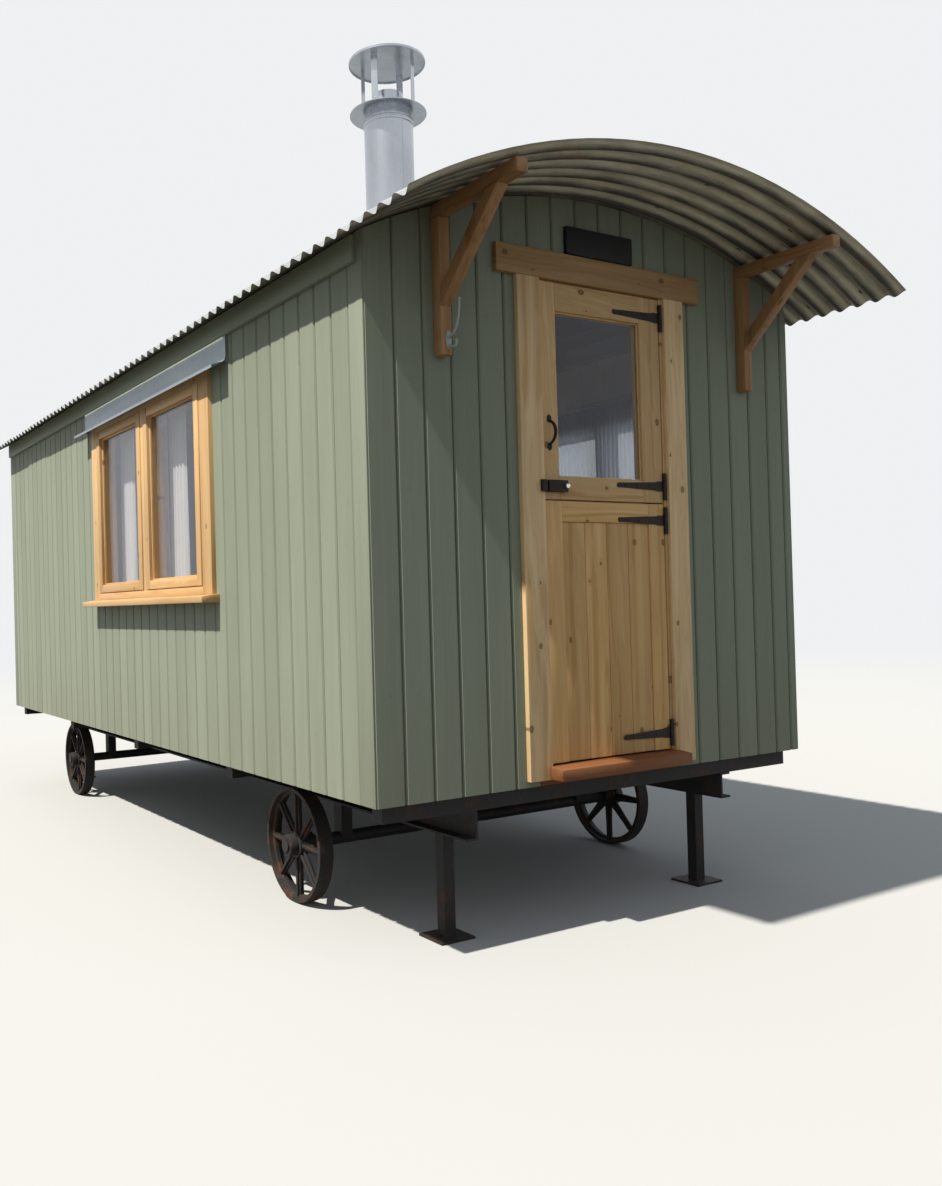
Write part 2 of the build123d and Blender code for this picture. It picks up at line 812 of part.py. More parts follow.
# Flue, weather collar and rain cowl
flue_z1 = wall_base + flue_top
ceiling_z = roof_z + math.sqrt(boarding_inner ** 2 - (abs(flue_x) + flue_radius) ** 2)
flue_z0 = ceiling_z - flue_tail
neck_foot = flue_z1 - neck_height
with BuildPart() as flue_pipe:
    with BuildSketch(Plane(origin=(flue_x, flue_y, 0), x_dir=(1, 0, 0), z_dir=(0, -1, 0))):
        with BuildLine():
            Polyline(
                (flue_radius - flue_wall, flue_z0),
                (flue_radius, flue_z0),
                (flue_radius, neck_foot),
                (neck_radius, neck_foot),
                (neck_radius, flue_z1),
                (flue_radius - flue_wall, flue_z1),
                close=True,
            )
        make_face()
        for ring in range(2):
            ring_z = neck_foot - band_height / 2 - ring * (band_height + band_gap)
            with Locations((flue_radius, ring_z)):
                Rectangle(2 * band_t, band_height)
    revolve(axis=Axis((flue_x, flue_y, 0), (0, 0, 1)))
save(flue_pipe, "flue_pipe")

roof_at_flue = roof_z + math.sqrt(crest_radius ** 2 - flue_x ** 2)
roof_slope = math.asin(flue_x / crest_radius)
collar_plane = Plane(origin=(flue_x, flue_y, roof_at_flue), x_dir=(0, 1, 0),
                     z_dir=(math.sin(roof_slope), 0, math.cos(roof_slope)))
with BuildPart() as flue_flashing:
    with BuildSketch(Plane.XY.offset(roof_at_flue - flashing_radius).move(Location((flue_x, flue_y, 0)))):
        RegularPolygon(flashing_radius, flashing_sides)
    with BuildSketch(Plane.XY.offset(roof_at_flue + flashing_height).move(Location((flue_x, flue_y, 0)))):
        RegularPolygon(flue_radius + 2 * flashing_t, flashing_sides)
    loft()
    with BuildSketch(collar_plane):
        Rectangle(4 * flashing_radius, 4 * flashing_radius)
    extrude(amount=-2 * flashing_radius, mode=Mode.SUBTRACT)
    with Locations((flue_x, flue_y, roof_at_flue)):
        Cylinder(flue_radius + fit_gap, 4 * flashing_height, mode=Mode.SUBTRACT)
save(flue_flashing, "flue_flashing")

cap_z = flue_z1 + cowl_gap
with BuildPart() as cowl_base:
    with Locations((flue_x, flue_y, flue_z1 + cowl_dish_rise / 2)):
        Cone(cowl_radius, liner_radius, cowl_dish_rise)
    with Locations((flue_x, flue_y, flue_z1 + liner_rise / 2)):
        Cylinder(liner_radius, liner_rise)
        Cylinder(liner_radius - cowl_dish_t, liner_rise, mode=Mode.SUBTRACT)
save(cowl_base, "cowl_base")

with BuildPart() as cowl_cap:
    with Locations((flue_x, flue_y, cap_z + cowl_dish_rise / 2)):
        Cone(cowl_radius, liner_radius / 2, cowl_dish_rise)
    with Locations((flue_x, flue_y, cap_z - cowl_rim / 2)):
        Cylinder(cowl_radius, cowl_rim)
save(cowl_cap, "cowl_cap")

cowl_strap_r = cowl_radius - cowl_strap_inset
strap_foot_z = flue_z1 + cowl_dish_rise * cowl_strap_inset / (cowl_radius - liner_radius) + fit_gap
strap_head_z = cap_z - cowl_rim
with BuildPart() as cowl_straps:
    for step in range(strap_count):
        turn = math.radians(cowl_strap_turn + 360 * step / strap_count)
        centre = (flue_x + cowl_strap_r * math.cos(turn), flue_y + cowl_strap_r * math.sin(turn),
                  (strap_foot_z + strap_head_z) / 2)
        with Locations(Location(centre, (0, 0, math.degrees(turn)))):
            Box(cowl_strap_t, cowl_strap_width, strap_head_z - strap_foot_z)
save(cowl_straps, "cowl_straps")
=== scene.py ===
import math
import random

import bmesh
import bpy
from mathutils import Matrix, Vector


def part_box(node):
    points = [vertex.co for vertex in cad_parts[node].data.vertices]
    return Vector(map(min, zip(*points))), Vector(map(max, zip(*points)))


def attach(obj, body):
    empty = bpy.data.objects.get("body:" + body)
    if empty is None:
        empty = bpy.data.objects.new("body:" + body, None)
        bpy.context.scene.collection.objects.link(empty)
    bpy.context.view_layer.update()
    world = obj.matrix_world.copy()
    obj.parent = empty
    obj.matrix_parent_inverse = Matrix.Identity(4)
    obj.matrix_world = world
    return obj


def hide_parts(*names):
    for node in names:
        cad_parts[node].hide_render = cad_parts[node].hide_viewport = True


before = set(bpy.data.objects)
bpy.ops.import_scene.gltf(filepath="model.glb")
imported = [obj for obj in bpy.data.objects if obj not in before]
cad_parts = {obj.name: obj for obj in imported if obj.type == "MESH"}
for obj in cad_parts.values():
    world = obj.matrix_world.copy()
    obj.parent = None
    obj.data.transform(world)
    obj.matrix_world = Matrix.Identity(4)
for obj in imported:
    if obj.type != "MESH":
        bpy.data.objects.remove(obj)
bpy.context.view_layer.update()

# Sizes in metres, read from the CAD model where it holds them
back_low, back_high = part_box("back_wall")
BASE = back_low.z
HALF = back_high.x
WALL = 0.09
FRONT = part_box("front_wall_left")[0].y
BACK = back_high.y
LENGTH = BACK - FRONT
FLOOR_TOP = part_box("floor")[1].z
INNER_Y = FRONT + WALL

roof_low, roof_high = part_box("roof_sheet")
CREST = 2.267
ROOF_Z = roof_high.z - CREST
GABLE = back_high.z - ROOF_Z
BOARDING = GABLE - 0.060
VALLEY = GABLE + 0.0006
SHEET_Y0 = roof_low.y
WAVES = 69
PITCH = (roof_high.y - SHEET_Y0) / WAVES
EAVE = roof_high.x

FRAME_LEFT, _, DOOR_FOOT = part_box("door_jambs")[0]
FRAME_RIGHT, _, FRAME_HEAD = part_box("door_jambs")[1]
DOOR_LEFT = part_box("door_frame_head")[0].x
DOOR_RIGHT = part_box("door_frame_head")[1].x
DOOR_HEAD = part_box("door_trims")[1].z
STOP = 0.014
HINGE_JAMB = DOOR_RIGHT - STOP
TRIM_T = 0.022
LEAF_LEFT, LEAF_FRONT, UPPER_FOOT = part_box("upper_leaf_frame")[0]
LEAF_RIGHT, LEAF_BACK, LEAF_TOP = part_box("upper_leaf_frame")[1]
LEAF_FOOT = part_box("lower_leaf_frame")[0].z
LOWER_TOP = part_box("lower_leaf_frame")[1].z

_, LEFT_Y0, WINDOW_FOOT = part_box("left_window_frame")[0]
_, LEFT_Y1, LEFT_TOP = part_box("left_window_frame")[1]
RIGHT_Y0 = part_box("right_window_frame")[0].y
_, RIGHT_Y1, RIGHT_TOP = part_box("right_window_frame")[1]

flue_low, flue_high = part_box("flue_pipe")
FLUE_X = (flue_low.x + flue_high.x) / 2
FLUE_Y = (flue_low.y + flue_high.y) / 2
FLUE_AXIS = (FLUE_X, FLUE_Y, 0)
FLUE_FOOT = flue_low.z
FLUE_TOP = flue_high.z


# Materials
def feed(tree, node, inputs):
    """Links a node's sockets or sets them: one number fills a vector, and a colour gets its alpha."""
    for name, value in inputs.items():
        target = node.inputs[name]
        if isinstance(value, Socket):
            tree.links.new(value.out, target)
        elif target.type in {"VECTOR", "RGBA"} and isinstance(value, (int, float)):
            target.default_value = [value] * 3 + [1] * (len(target.default_value) - 3)
        elif target.type == "RGBA" and len(value) == 3:
            target.default_value = (*value, 1)
        else:
            target.default_value = value


def sums(operation, swap=False):
    """The method behind one operator, or behind its reflected form with swap."""

    def method(self, other):
        values = (other, self) if swap else (self, other)
        wide = self.wide() or (other.wide() if isinstance(other, Socket) else isinstance(other, tuple))
        kind = "ShaderNodeVectorMath" if wide else "ShaderNodeMath"
        return self.make(kind, dict(enumerate(values)), operation=operation)

    return method


class Socket:
    """An output in a material's tree. Arithmetic on it adds the nodes that do the sum."""

    def __init__(self, tree, out=None):
        self.tree = tree
        self.out = out

    __add__ = sums("ADD")
    __radd__ = sums("ADD", swap=True)
    __sub__ = sums("SUBTRACT")
    __rsub__ = sums("SUBTRACT", swap=True)
    __mul__ = sums("MULTIPLY")
    __rmul__ = sums("MULTIPLY", swap=True)
    __truediv__ = sums("DIVIDE")
    __rtruediv__ = sums("DIVIDE", swap=True)
    __pow__ = sums("POWER")
    __rpow__ = sums("POWER", swap=True)

    def wide(self):
        return self.out.type in {"VECTOR", "RGBA"}

    def make(self, kind, inputs=None, output=0, stops=(), **settings):
        """A new node: its settings and a ramp's stops first, then what its sockets take."""
        node = self.tree.nodes.new(kind)
        for name, value in settings.items():
            setattr(node, name, value)
        for index, (place, level) in enumerate(stops):
            elements = node.color_ramp.elements
            element = elements[index] if index < 2 else elements.new(place)
            element.position = place
            element.color = (level, level, level, 1)
        feed(self.tree, node, inputs or {})
        return Socket(self.tree, node.outputs[output])

    def larger(self, other):
        return self.make("ShaderNodeMath", {0: self, 1: other}, operation="MAXIMUM")

    def length(self):
        return self.make("ShaderNodeVectorMath", {0: self}, output="Value", operation="LENGTH")

    def part(self, index):
        return self.make("ShaderNodeSeparateXYZ", {0: self}, output=index)

    def ramp(self, *stops):
        """A response that runs straight between pairs of position and level."""
        return self.make("ShaderNodeValToRGB", {0: self}, stops=stops).part(0)

    def rise(self, start, end):
        return self.ramp((start, 0.0), (end, 1.0))

    def fall(self, start, end):
        return self.ramp((start, 1.0), (end, 0.0))

    def noise(self, scale, detail, rough, distortion=0.0):
        """Soft noise. scale is how many bumps a metre holds, for all axes or for each."""
        if isinstance(scale, tuple):
            return (self * scale).noise(1.0, detail, rough, distortion)
        inputs = {"Vector": self, "Scale": scale, "Detail": detail, "Roughness": rough}
        return self.make("ShaderNodeTexNoise", {**inputs, "Distortion": distortion})

    def cell(self, output):
        """The Position or the Color of the nearest of many scattered points, one to a unit."""
        return self.make("ShaderNodeTexVoronoi", {"Vector": self, "Scale": 1.0}, output=output)

    def colour(self, rgb):
        socket = self.make("ShaderNodeRGB")
        socket.out.default_value = (*rgb, 1)
        return socket

    def mix(self, other, factor):
        """This colour, turning into the other as factor goes to 1."""
        inputs = {"Factor": factor, 6: self, 7: other}
        return self.make("ShaderNodeMix", inputs, output=2, data_type="RGBA")


class Finish:
    """A material with its tree, its shader and the coordinates that its pattern reads."""

    def __init__(self, name):
        self.material = bpy.data.materials.new(name)
        self.material.use_nodes = True
        self.tree = self.material.node_tree
        self.shader = self.tree.nodes["Principled BSDF"]
        self.start = Socket(self.tree)
        self.colour = self.start.colour

    def grain(self):
        """Metres along the grain, across it and through it, with an offset for each piece."""
        return self.start.make("ShaderNodeAttribute", output="Vector", attribute_name="grain")

    def tone(self):
        """A number from 0 to 1 that is one piece's own."""
        return self.start.make("ShaderNodeAttribute", output="Fac", attribute_name="tone")

    def place(self):
        """The point in the hut's own frame, in metres."""
        return self.start.make("ShaderNodeTexCoord", output="Object")

    def dress(self, bump=None, **inputs):
        """Feeds the shader's inputs by name, with _ for a space. bump is height, depth and strength."""
        feed(self.tree, self.shader, {name.replace("_", " "): value for name, value in inputs.items()})
        if bump:
            relief = dict(zip(("Height", "Distance", "Strength"), bump))
            feed(self.tree, self.shader, {"Normal": self.start.make("ShaderNodeBump", relief)})
        return self.material

    def blend(self, factor, other):
        """Lets another shader take the place of this one as factor goes to 1."""
        own = Socket(self.tree, self.shader.outputs["BSDF"])
        both = self.start.make("ShaderNodeMixShader", {0: factor, 1: own, 2: other})
        feed(self.tree, self.tree.nodes["Material Output"], {"Surface": both})


def knot_distance(grain, along, across):
    """Distance in metres from the nearest knot's middle, and that knot's own number."""
    cells = grain * (along, across, 0.0)
    offset = (cells - cells.cell("Position")) * (0.72 / along, 1.0 / across, 0.0)
    return offset.length(), cells.cell("Color").part(0)


def year_rings(grain):
    """Broad wavy bands along the grain, as on a flat sawn board."""
    drift = grain.noise((0.9, 6.0, 6.0), 2.0, 0.5)
    bands = (grain * (0.35, 34.0, 20.0) + drift * 5.0).noise(1.0, 2.0, 0.45)
    return bands.ramp((0.36, 0.0), (0.50, 0.55), (0.53, 0.25), (0.66, 1.0))


def pine(name, pale, rich, knot, rough, knots=True):
    """Softwood with rings, fibres and knots."""
    finish = Finish(name)
    grain = finish.grain()
    fibre = grain.noise((9.0, 260.0, 260.0), 4.0, 0.6)
    blotch = grain.noise((1.3, 5.0, 5.0), 3.0, 0.6).rise(0.45, 0.72)
    if knots:
        distance, number = knot_distance(grain, 2.7, 8.0)
        reach = distance / (0.003 + number * 0.008)
        swirl = (distance * 55.0).fall(0.0, 1.0)
        rings = year_rings(grain + swirl * (0.0, 0.010, 0.010))
    else:
        rings = year_rings(grain)
    base = finish.colour(pale).mix(rich, rings * 0.80 + fibre * 0.34 - 0.06)
    base = base * (0.82 + 0.30 * finish.tone())
    base = base.mix((0.30, 0.20, 0.12), blotch * 0.22)
    if knots:
        heart = reach.fall(0.0, 1.0).ramp((0.0, 0.0), (0.28, 0.9), (1.0, 1.0))
        rim = reach.ramp((0.62, 0.0), (0.86, 1.0), (1.0, 0.0))
        base = base.mix(knot, heart * 0.92)
        base = base.mix((0.03, 0.015, 0.008), rim * 0.60)
        base = base.mix(rich, swirl * 0.45)
    relief = (fibre * 0.5 + rings * 0.25, 0.0006, 0.55)
    return finish.dress(relief, Base_Color=base, Roughness=rough + fibre * 0.16, Specular_IOR_Level=0.20)


def painted_boards(name, paint, shade, rough):
    """Paint over boards: each board has its own tone, with faint fibres, runs and dust at the foot."""
    finish = Finish(name)
    grain = finish.grain()
    fibre = grain.noise((5.0, 190.0, 190.0), 4.0, 0.62)
    drift = grain.noise((0.8, 7.0, 7.0), 4.0, 0.6)
    runs = grain.noise((0.9, 42.0, 42.0), 3.0, 0.55).rise(0.47, 0.72)
    height = finish.place().part(2)
    dust = ((0.95 - height) / 0.45).rise(0.0, 1.0) * drift.ramp((0.35, 0.3), (0.7, 1.0))
    distance, number = knot_distance(grain, 2.1, 8.5)
    knot = (distance / (0.004 + number * 0.008)).fall(0.0, 1.0)
    base = finish.colour(paint) * (0.93 + 0.14 * finish.tone())
    base = base.mix(shade, drift.rise(0.35, 0.70) * 0.35 + runs * 0.18)
    base = base.mix((0.50, 0.52, 0.40), fibre.rise(0.55, 0.75) * 0.16)
    base = base.mix((0.22, 0.18, 0.12), dust * 0.30)
    base = base.mix(shade, knot * 0.30)
    relief = (fibre * 0.7 + knot * 0.5 + drift * 0.3, 0.0007, 0.6)
    dull = rough + fibre * 0.18 - runs * 0.05
    return finish.dress(relief, Base_Color=base, Roughness=dull, Specular_IOR_Level=0.16)


def galvanised(name, light, dark, streak, metal, rough):
    """Weathered zinc: spangles, runs down the slope, and the valleys darker."""
    finish = Finish(name)
    grain = finish.grain()
    spangle = (grain * (70.0, 70.0, 0.0)).cell("Color").part(1)
    drift = grain.noise((1.4, 3.0, 0.0), 4.0, 0.6)
    runs = grain.noise((1.6, 55.0, 0.0), 4.0, 0.6).rise(0.42, 0.74)
    low = grain.part(2).fall(0.0, 0.55)
    base = finish.colour(light).mix(dark, drift.rise(0.3, 0.75) * 0.6 + spangle * 0.22)
    base = base.mix(streak, runs * 0.45 + low * 0.30)
    base = base * (0.88 + 0.24 * finish.tone())
    dull = rough + drift * 0.22 + spangle * 0.08
    relief = (drift * 0.6 + spangle * 0.2, 0.0008, 0.4)
    metal = metal - runs * 0.25
    return finish.dress(relief, Base_Color=base, Metallic=metal, Roughness=dull, Specular_IOR_Level=0.3)


def sheet_underside(name):
    """The underside of the roof sheet: khaki bloom, dark grime in stripes, painted shade as a dark stripe
    along every wave, and rust that creeps in.
    """
    finish = Finish(name)
    grain = finish.grain()
    drift = grain.noise((2.0, 5.0, 0.0), 5.0, 0.62)
    grime = grain.noise((3.0, 26.0, 0.0), 4.0, 0.6).rise(0.40, 0.66)
    rust = grain.noise((4.5, 15.0, 0.0), 6.0, 0.68, 0.4).rise(0.57, 0.70)
    specks = grain.noise((120.0, 120.0, 0.0), 3.0, 0.6).rise(0.55, 0.75)
    # Painted shade: a dark stripe along every wave of the sheet, set by the wave's shape
    painted_wave_shade = grain.part(2).rise(0.40, 0.95)
    base = finish.colour((0.470, 0.435, 0.310)).mix((0.60, 0.58, 0.48), drift.rise(0.35, 0.7) * 0.6)
    # The grime is dirt; the wave stripe mixed in with it is painted shade
    base = base.mix((0.030, 0.027, 0.020), grime * 0.50 + painted_wave_shade * 0.82)
    base = base.mix((0.17, 0.065, 0.022), rust * 0.50)
    base = base.mix((0.06, 0.045, 0.03), specks * 0.25)
    base = base * (0.85 + 0.30 * finish.tone())
    relief = (drift * 0.4 + rust * 0.4 + specks * 0.3, 0.0008, 0.5)
    return finish.dress(relief, Base_Color=base, Metallic=0.25, Roughness=0.52 + drift * 0.2 + rust * 0.15)


def ironwork(name, black, rust_share, rough):
    """Black painted iron with paler dusty patches and a little rust."""
    finish = Finish(name)
    place = finish.place()
    drift = place.noise(26.0, 4.0, 0.6)
    speck = place.noise(190.0, 4.0, 0.65)
    rust = place.noise(11.0, 6.0, 0.7).rise(0.52, 0.68) * speck.ramp((0.35, 0.2), (0.7, 1.0))
    base = finish.colour(black).mix((0.060, 0.056, 0.050), drift * 0.30)
    base = base.mix((0.19, 0.070, 0.026), rust * rust_share)
    dull = rough + drift * 0.22 + rust * 0.2 * rust_share
    relief = (speck * 0.5 + rust * rust_share, 0.0006, 0.5)
    return finish.dress(relief, Base_Color=base, Metallic=0.1, Roughness=dull, Specular_IOR_Level=0.18)


def stainless(name, light, dark, rough):
    """Brushed stainless steel: fine upright scratches, soft smears and dull water marks."""
    finish = Finish(name)
    place = finish.place()
    brushed = place.noise((420.0, 420.0, 9.0), 3.0, 0.6)
    smear = place.noise((7.0, 7.0, 3.0), 4.0, 0.6)
    soot = place.noise((30.0, 30.0, 8.0), 4.0, 0.6).rise(0.5, 0.75)
    base = finish.colour(light).mix(dark, smear.rise(0.3, 0.7) * 0.45 + brushed * 0.15)
    base = base.mix((0.28, 0.24, 0.20), soot * 0.18)
    relief = (brushed * 0.5 + smear, 0.0004, 0.35)
    dull = rough + brushed * 0.12 + smear * 0.10
    return finish.dress(relief, Base_Color=base, Metallic=0.95, Roughness=dull)


def bent_sheet(name, light, dark, metal, rough):
    """Thin folded sheet, blue grey with dull patches."""
    finish = Finish(name)
    place = finish.place()
    drift = place.noise((6.0, 2.2, 9.0), 5.0, 0.62)
    runs = place.noise((30.0, 34.0, 2.2), 4.0, 0.6).rise(0.45, 0.72)
    speck = place.noise(230.0, 3.0, 0.6)
    base = finish.colour(light).mix(dark, drift.rise(0.3, 0.7) * 0.7 + speck * 0.10)
    base = base.mix((0.24, 0.22, 0.18), runs * 0.22)
    relief = (drift + speck * 0.3, 0.0008, 0.4)
    return finish.dress(relief, Base_Color=base, Metallic=metal, Roughness=rough + drift * 0.2)


def window_pane(name):
    """Clear glass that mirrors more where it is seen aslant, with the faintest smears."""
    finish = Finish(name)
    smear = finish.place().noise((5.0, 5.0, 9.0), 4.0, 0.6).rise(0.35, 0.8)
    slant = smear.make("ShaderNodeLayerWeight", {"Blend": 0.5}, output="Facing")
    mirror = slant ** 3 * 0.43 + 0.012 + smear * 0.012
    dull = 0.03 + smear * 0.06
    return finish.dress(Base_Color=(0.82, 0.85, 0.93), Metallic=1.0, Alpha=mirror, Roughness=dull)


def net_cloth(name, tint, alpha, through):
    """Thin woven cotton that daylight shows through."""
    finish = Finish(name)
    place = finish.place()
    weave = place.noise((900.0, 900.0, 900.0), 2.0, 0.5)
    drift = place.noise(7.0, 3.0, 0.6)
    base = finish.colour(tint).mix(tuple(c * 0.78 for c in tint), drift * 0.5 + weave * 0.25)
    finish.blend(through, base.make("ShaderNodeBsdfTranslucent", {"Color": tint}))
    relief = (weave, 0.0003, 0.4)
    return finish.dress(relief, Base_Color=base, Roughness=0.9, Alpha=alpha, Specular_IOR_Level=0.1)


def plain_paint(name, tint, worn, rough):
    """A smooth painted or moulded surface with slight marks."""
    finish = Finish(name)
    place = finish.place()
    drift = place.noise(9.0, 4.0, 0.6)
    speck = place.noise(160.0, 3.0, 0.6)
    base = finish.colour(tint).mix(worn, drift.rise(0.35, 0.75) * 0.4 + speck * 0.10)
    relief = (drift * 0.5 + speck * 0.4, 0.0005, 0.4)
    return finish.dress(relief, Base_Color=base, Roughness=rough + drift * 0.2, Specular_IOR_Level=0.2)


SAGE = painted_boards("sage_paint", (0.282, 0.312, 0.236), (0.195, 0.224, 0.168), 0.52)
LINING = painted_boards("pale_lining", (0.60, 0.61, 0.60), (0.48, 0.49, 0.49), 0.6)
# Painted shade: the ceiling boards' dark purple grey stands for the dimness under the roof
CEILING = painted_boards("ceiling_painted_shade", (0.27, 0.255, 0.29), (0.21, 0.20, 0.23), 0.6)
PINE = pine("knotty_pine", (0.80, 0.560, 0.285), (0.56, 0.325, 0.132), (0.10, 0.042, 0.018), 0.42)
TRIM_PINE = pine("trim_pine", (0.84, 0.625, 0.350), (0.62, 0.390, 0.180), (0.10, 0.042, 0.018), 0.42)
LEAF_PINE = pine("lower_leaf_pine", (0.84, 0.555, 0.240), (0.61, 0.335, 0.115), (0.09, 0.038, 0.016), 0.42)
# Painted shade: the head board's pine is far darker than the trims' to carry the roof's shadow, and
# browner as the wood is
HEAD_SHADED_PINE = pine("head_board_pine_painted_shade", (0.50, 0.325, 0.155), (0.34, 0.190, 0.075), (0.10, 0.040, 0.018), 0.46)
STAINED = pine("stained_pine", (0.49, 0.275, 0.125), (0.29, 0.145, 0.060), (0.10, 0.040, 0.014), 0.40)
OILED = pine("oiled_pine", (0.74, 0.490, 0.235), (0.58, 0.335, 0.135), (0.16, 0.060, 0.020), 0.38)
SILL_WOOD = pine("hardwood", (0.27, 0.095, 0.030), (0.15, 0.048, 0.016), None, 0.45, knots=False)
FLOOR_WOOD = pine("floor_wood", (0.42, 0.27, 0.14), (0.30, 0.17, 0.08), (0.12, 0.05, 0.02), 0.40)
ZINC = galvanised("zinc_top", (0.41, 0.43, 0.445), (0.30, 0.32, 0.34), (0.24, 0.24, 0.22), 0.35, 0.55)
UNDERSIDE = sheet_underside("zinc_underside")
IRON = ironwork("black_iron", (0.012, 0.010, 0.009), 0.12, 0.45)
WHEEL_IRON = ironwork("wheel_iron", (0.026, 0.024, 0.023), 0.85, 0.55)
CHASSIS = ironwork("chassis_steel", (0.020, 0.020, 0.022), 0.45, 0.5)
STEEL = stainless("flue_steel", (0.56, 0.59, 0.64), (0.28, 0.30, 0.34), 0.15)
HOOD = bent_sheet("hood_sheet", (0.36, 0.42, 0.47), (0.27, 0.31, 0.35), 0.65, 0.34)
# Painted highlight: the hood's top roll is the same sheet, given a paler cream finish for the bright line
# along its bend
HOOD_ROLL_HIGHLIGHT = bent_sheet("hood_roll_painted_highlight", (0.66, 0.70, 0.58), (0.52, 0.55, 0.46), 0.75, 0.30)
LEAD = bent_sheet("flue_collar", (0.20, 0.22, 0.25), (0.13, 0.14, 0.16), 0.1, 0.6)
PANE = window_pane("window_pane")
CLOTH = net_cloth("curtain_cotton", (0.88, 0.88, 0.87), 0.96, 0.35)
# Painted sky light: the net's blue grey tint stands for the daylight from the sky on the cloth
NET = net_cloth("net_cotton_painted_skylight", (0.38, 0.47, 0.58), 0.64, 0.50)
# Painted shade: the rails are white paint, given a mid grey so that they sit as dark as their shade
TRACK = plain_paint("track_painted_shade_grey", (0.36, 0.36, 0.36), (0.28, 0.28, 0.27), 0.5)
PLAQUE = plain_paint("plaque_stain", (0.008, 0.008, 0.009), (0.022, 0.021, 0.019), 0.55)
KNOB = stainless("lock_knob_steel", (0.80, 0.78, 0.72), (0.6, 0.58, 0.52), 0.18)
HOOK_PAINT = plain_paint("hook_paint", (0.46, 0.52, 0.49), (0.36, 0.41, 0.38), 0.35)


# Mesh tools
SHARP_ANGLE = 0.45


def along_grain(verts, along, offset):
    """Each point's metres along the grain, across it and through it, shifted by the piece's offset."""
    order = ["xyz".index(axis) for axis in along]
    order.append(3 - sum(order))
    return [[v[axis] + shift for axis, shift in zip(order, offset)] for v in verts]


class Work:
    """The closed pieces of one object, gathered with each piece's grain and tone."""

    def __init__(self, name, seed, *materials):
        self.name = name
        self.materials = materials
        self.verts, self.faces, self.slots = [], [], []
        self.grain, self.tones = [], []
        self.dice = random.Random(seed)

    def draw_offset(self):
        return [self.dice.uniform(0, 40) for axis in range(3)]

    def add(self, verts, faces, along, slots=0, tone=None, offset=None, grain=None):
        """Adds one piece. along names the axis of the grain, then the axis across it."""
        if offset is None:
            offset = self.draw_offset()
        if tone is None:
            tone = self.dice.random()
        first = len(self.verts)
        self.faces += [[first + i for i in face] for face in faces]
        self.slots += slots if isinstance(slots, list) else [slots] * len(faces)
        self.verts += [tuple(v) for v in verts]
        self.tones += [tone] * len(verts)
        for point in grain or along_grain(verts, along, offset):
            self.grain += point

    def solid(self, shape, along="zx", bevel=0.0, segments=2, slot=0, turn=None):
        """Adds a closed piece with its edges eased. turn maps local points into the hut's frame."""
        verts, faces = eased(*shape, bevel, segments) if bevel else shape
        offset = self.draw_offset()
        placed = verts if turn is None else [turn @ Vector(v) for v in verts]
        self.add(placed, faces, along, slot, offset=offset, grain=along_grain(verts, along, offset))

    def bar(self, low, high, along="zx", bevel=0.002, segments=2, slot=0, turn=None):
        """A squared piece of timber or metal between two opposite corners."""
        self.solid(box_shape(low, high), along, bevel, segments, slot, turn)

    def done(self, slot, *replaces, body="hut", smooth=30):
        """Makes the object, hangs it under its body and hides the CAD nodes that it stands for. slot is
        not used.
        """
        mesh = bpy.data.meshes.new(self.name)
        mesh.from_pydata(self.verts, [], self.faces)
        for material in self.materials:
            mesh.materials.append(material)
        mesh.polygons.foreach_set("material_index", self.slots)
        mesh.attributes.new("grain", "FLOAT_VECTOR", "POINT").data.foreach_set("vector", self.grain)
        mesh.attributes.new("tone", "FLOAT", "POINT").data.foreach_set("value", self.tones)
        mesh.shade_smooth()
        mesh.set_sharp_from_angle(angle=math.radians(smooth))
        mesh.validate()
        obj = bpy.data.objects.new(self.name, mesh)
        bpy.context.scene.collection.objects.link(obj)
        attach(obj, body)
        if replaces:
            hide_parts(*replaces)
        return obj


def prism_faces(count):
    """The faces of a prism between two rings of count points, its ends first."""
    sides = [(i, (i + 1) % count) for i in range(count)]
    ends = [list(range(count))[::-1], list(range(count, 2 * count))]
    return ends + [[i, j, count + j, count + i] for i, j in sides]


def slab_shape(outline, place, near, far):
    """A closed prism: place(u, v, depth) puts each point of the outline at the near and the far depth."""
    verts = [place(*point, depth) for depth in (near, far) for point in outline]
    return verts, prism_faces(len(outline))


def box_shape(low, high):
    (x0, x1), (y0, y1), (z0, z1) = (sorted(pair) for pair in zip(low, high))
    return slab_shape([(x0, y0), (x1, y0), (x1, y1), (x0, y1)], lambda x, y, z: (x, y, z), z0, z1)


def eased(verts, faces, width, segments):
    """The same closed shape with its sharp edges rounded over."""
    bm = bmesh.new()
    points = [bm.verts.new(v) for v in verts]
    for face in faces:
        bm.faces.new([points[i] for i in face])
    bmesh.ops.recalc_face_normals(bm, faces=bm.faces)
    sharp = [edge for edge in bm.edges if edge.calc_face_angle(0) > SHARP_ANGLE]
    bmesh.ops.bevel(
        bm, geom=sharp, offset=width, segments=segments, profile=0.5, affect="EDGES", clamp_overlap=True
    )
    bm.verts.index_update()
    shape = [tuple(v.co) for v in bm.verts], [[v.index for v in f.verts] for f in bm.faces]
    bm.free()
    return shape


def lathe_shape(profile, steps):
    """Turns (radius, height) points about the Z axis. Both ends are on the axis, or they are joined."""
    verts, rings, faces = [], [], []
    for radius, height in profile:
        around = 1 if radius < 1e-6 else steps
        rings.append(list(range(len(verts), len(verts) + around)))
        for step in range(around):
            turn = 2 * math.pi * step / steps
            verts.append((radius * math.cos(turn), radius * math.sin(turn), height))
    for low, high in zip(rings, rings[1:] + rings[:1]):
        if len(low) == 1 and len(high) == 1:
            continue
        for step in range(steps):
            after = (step + 1) % steps
            corners = (low, step), (low, after), (high, after), (high, step)
            face = [ring[k % len(ring)] for ring, k in corners]
            faces.append(list(dict.fromkeys(face)))
    return verts, faces


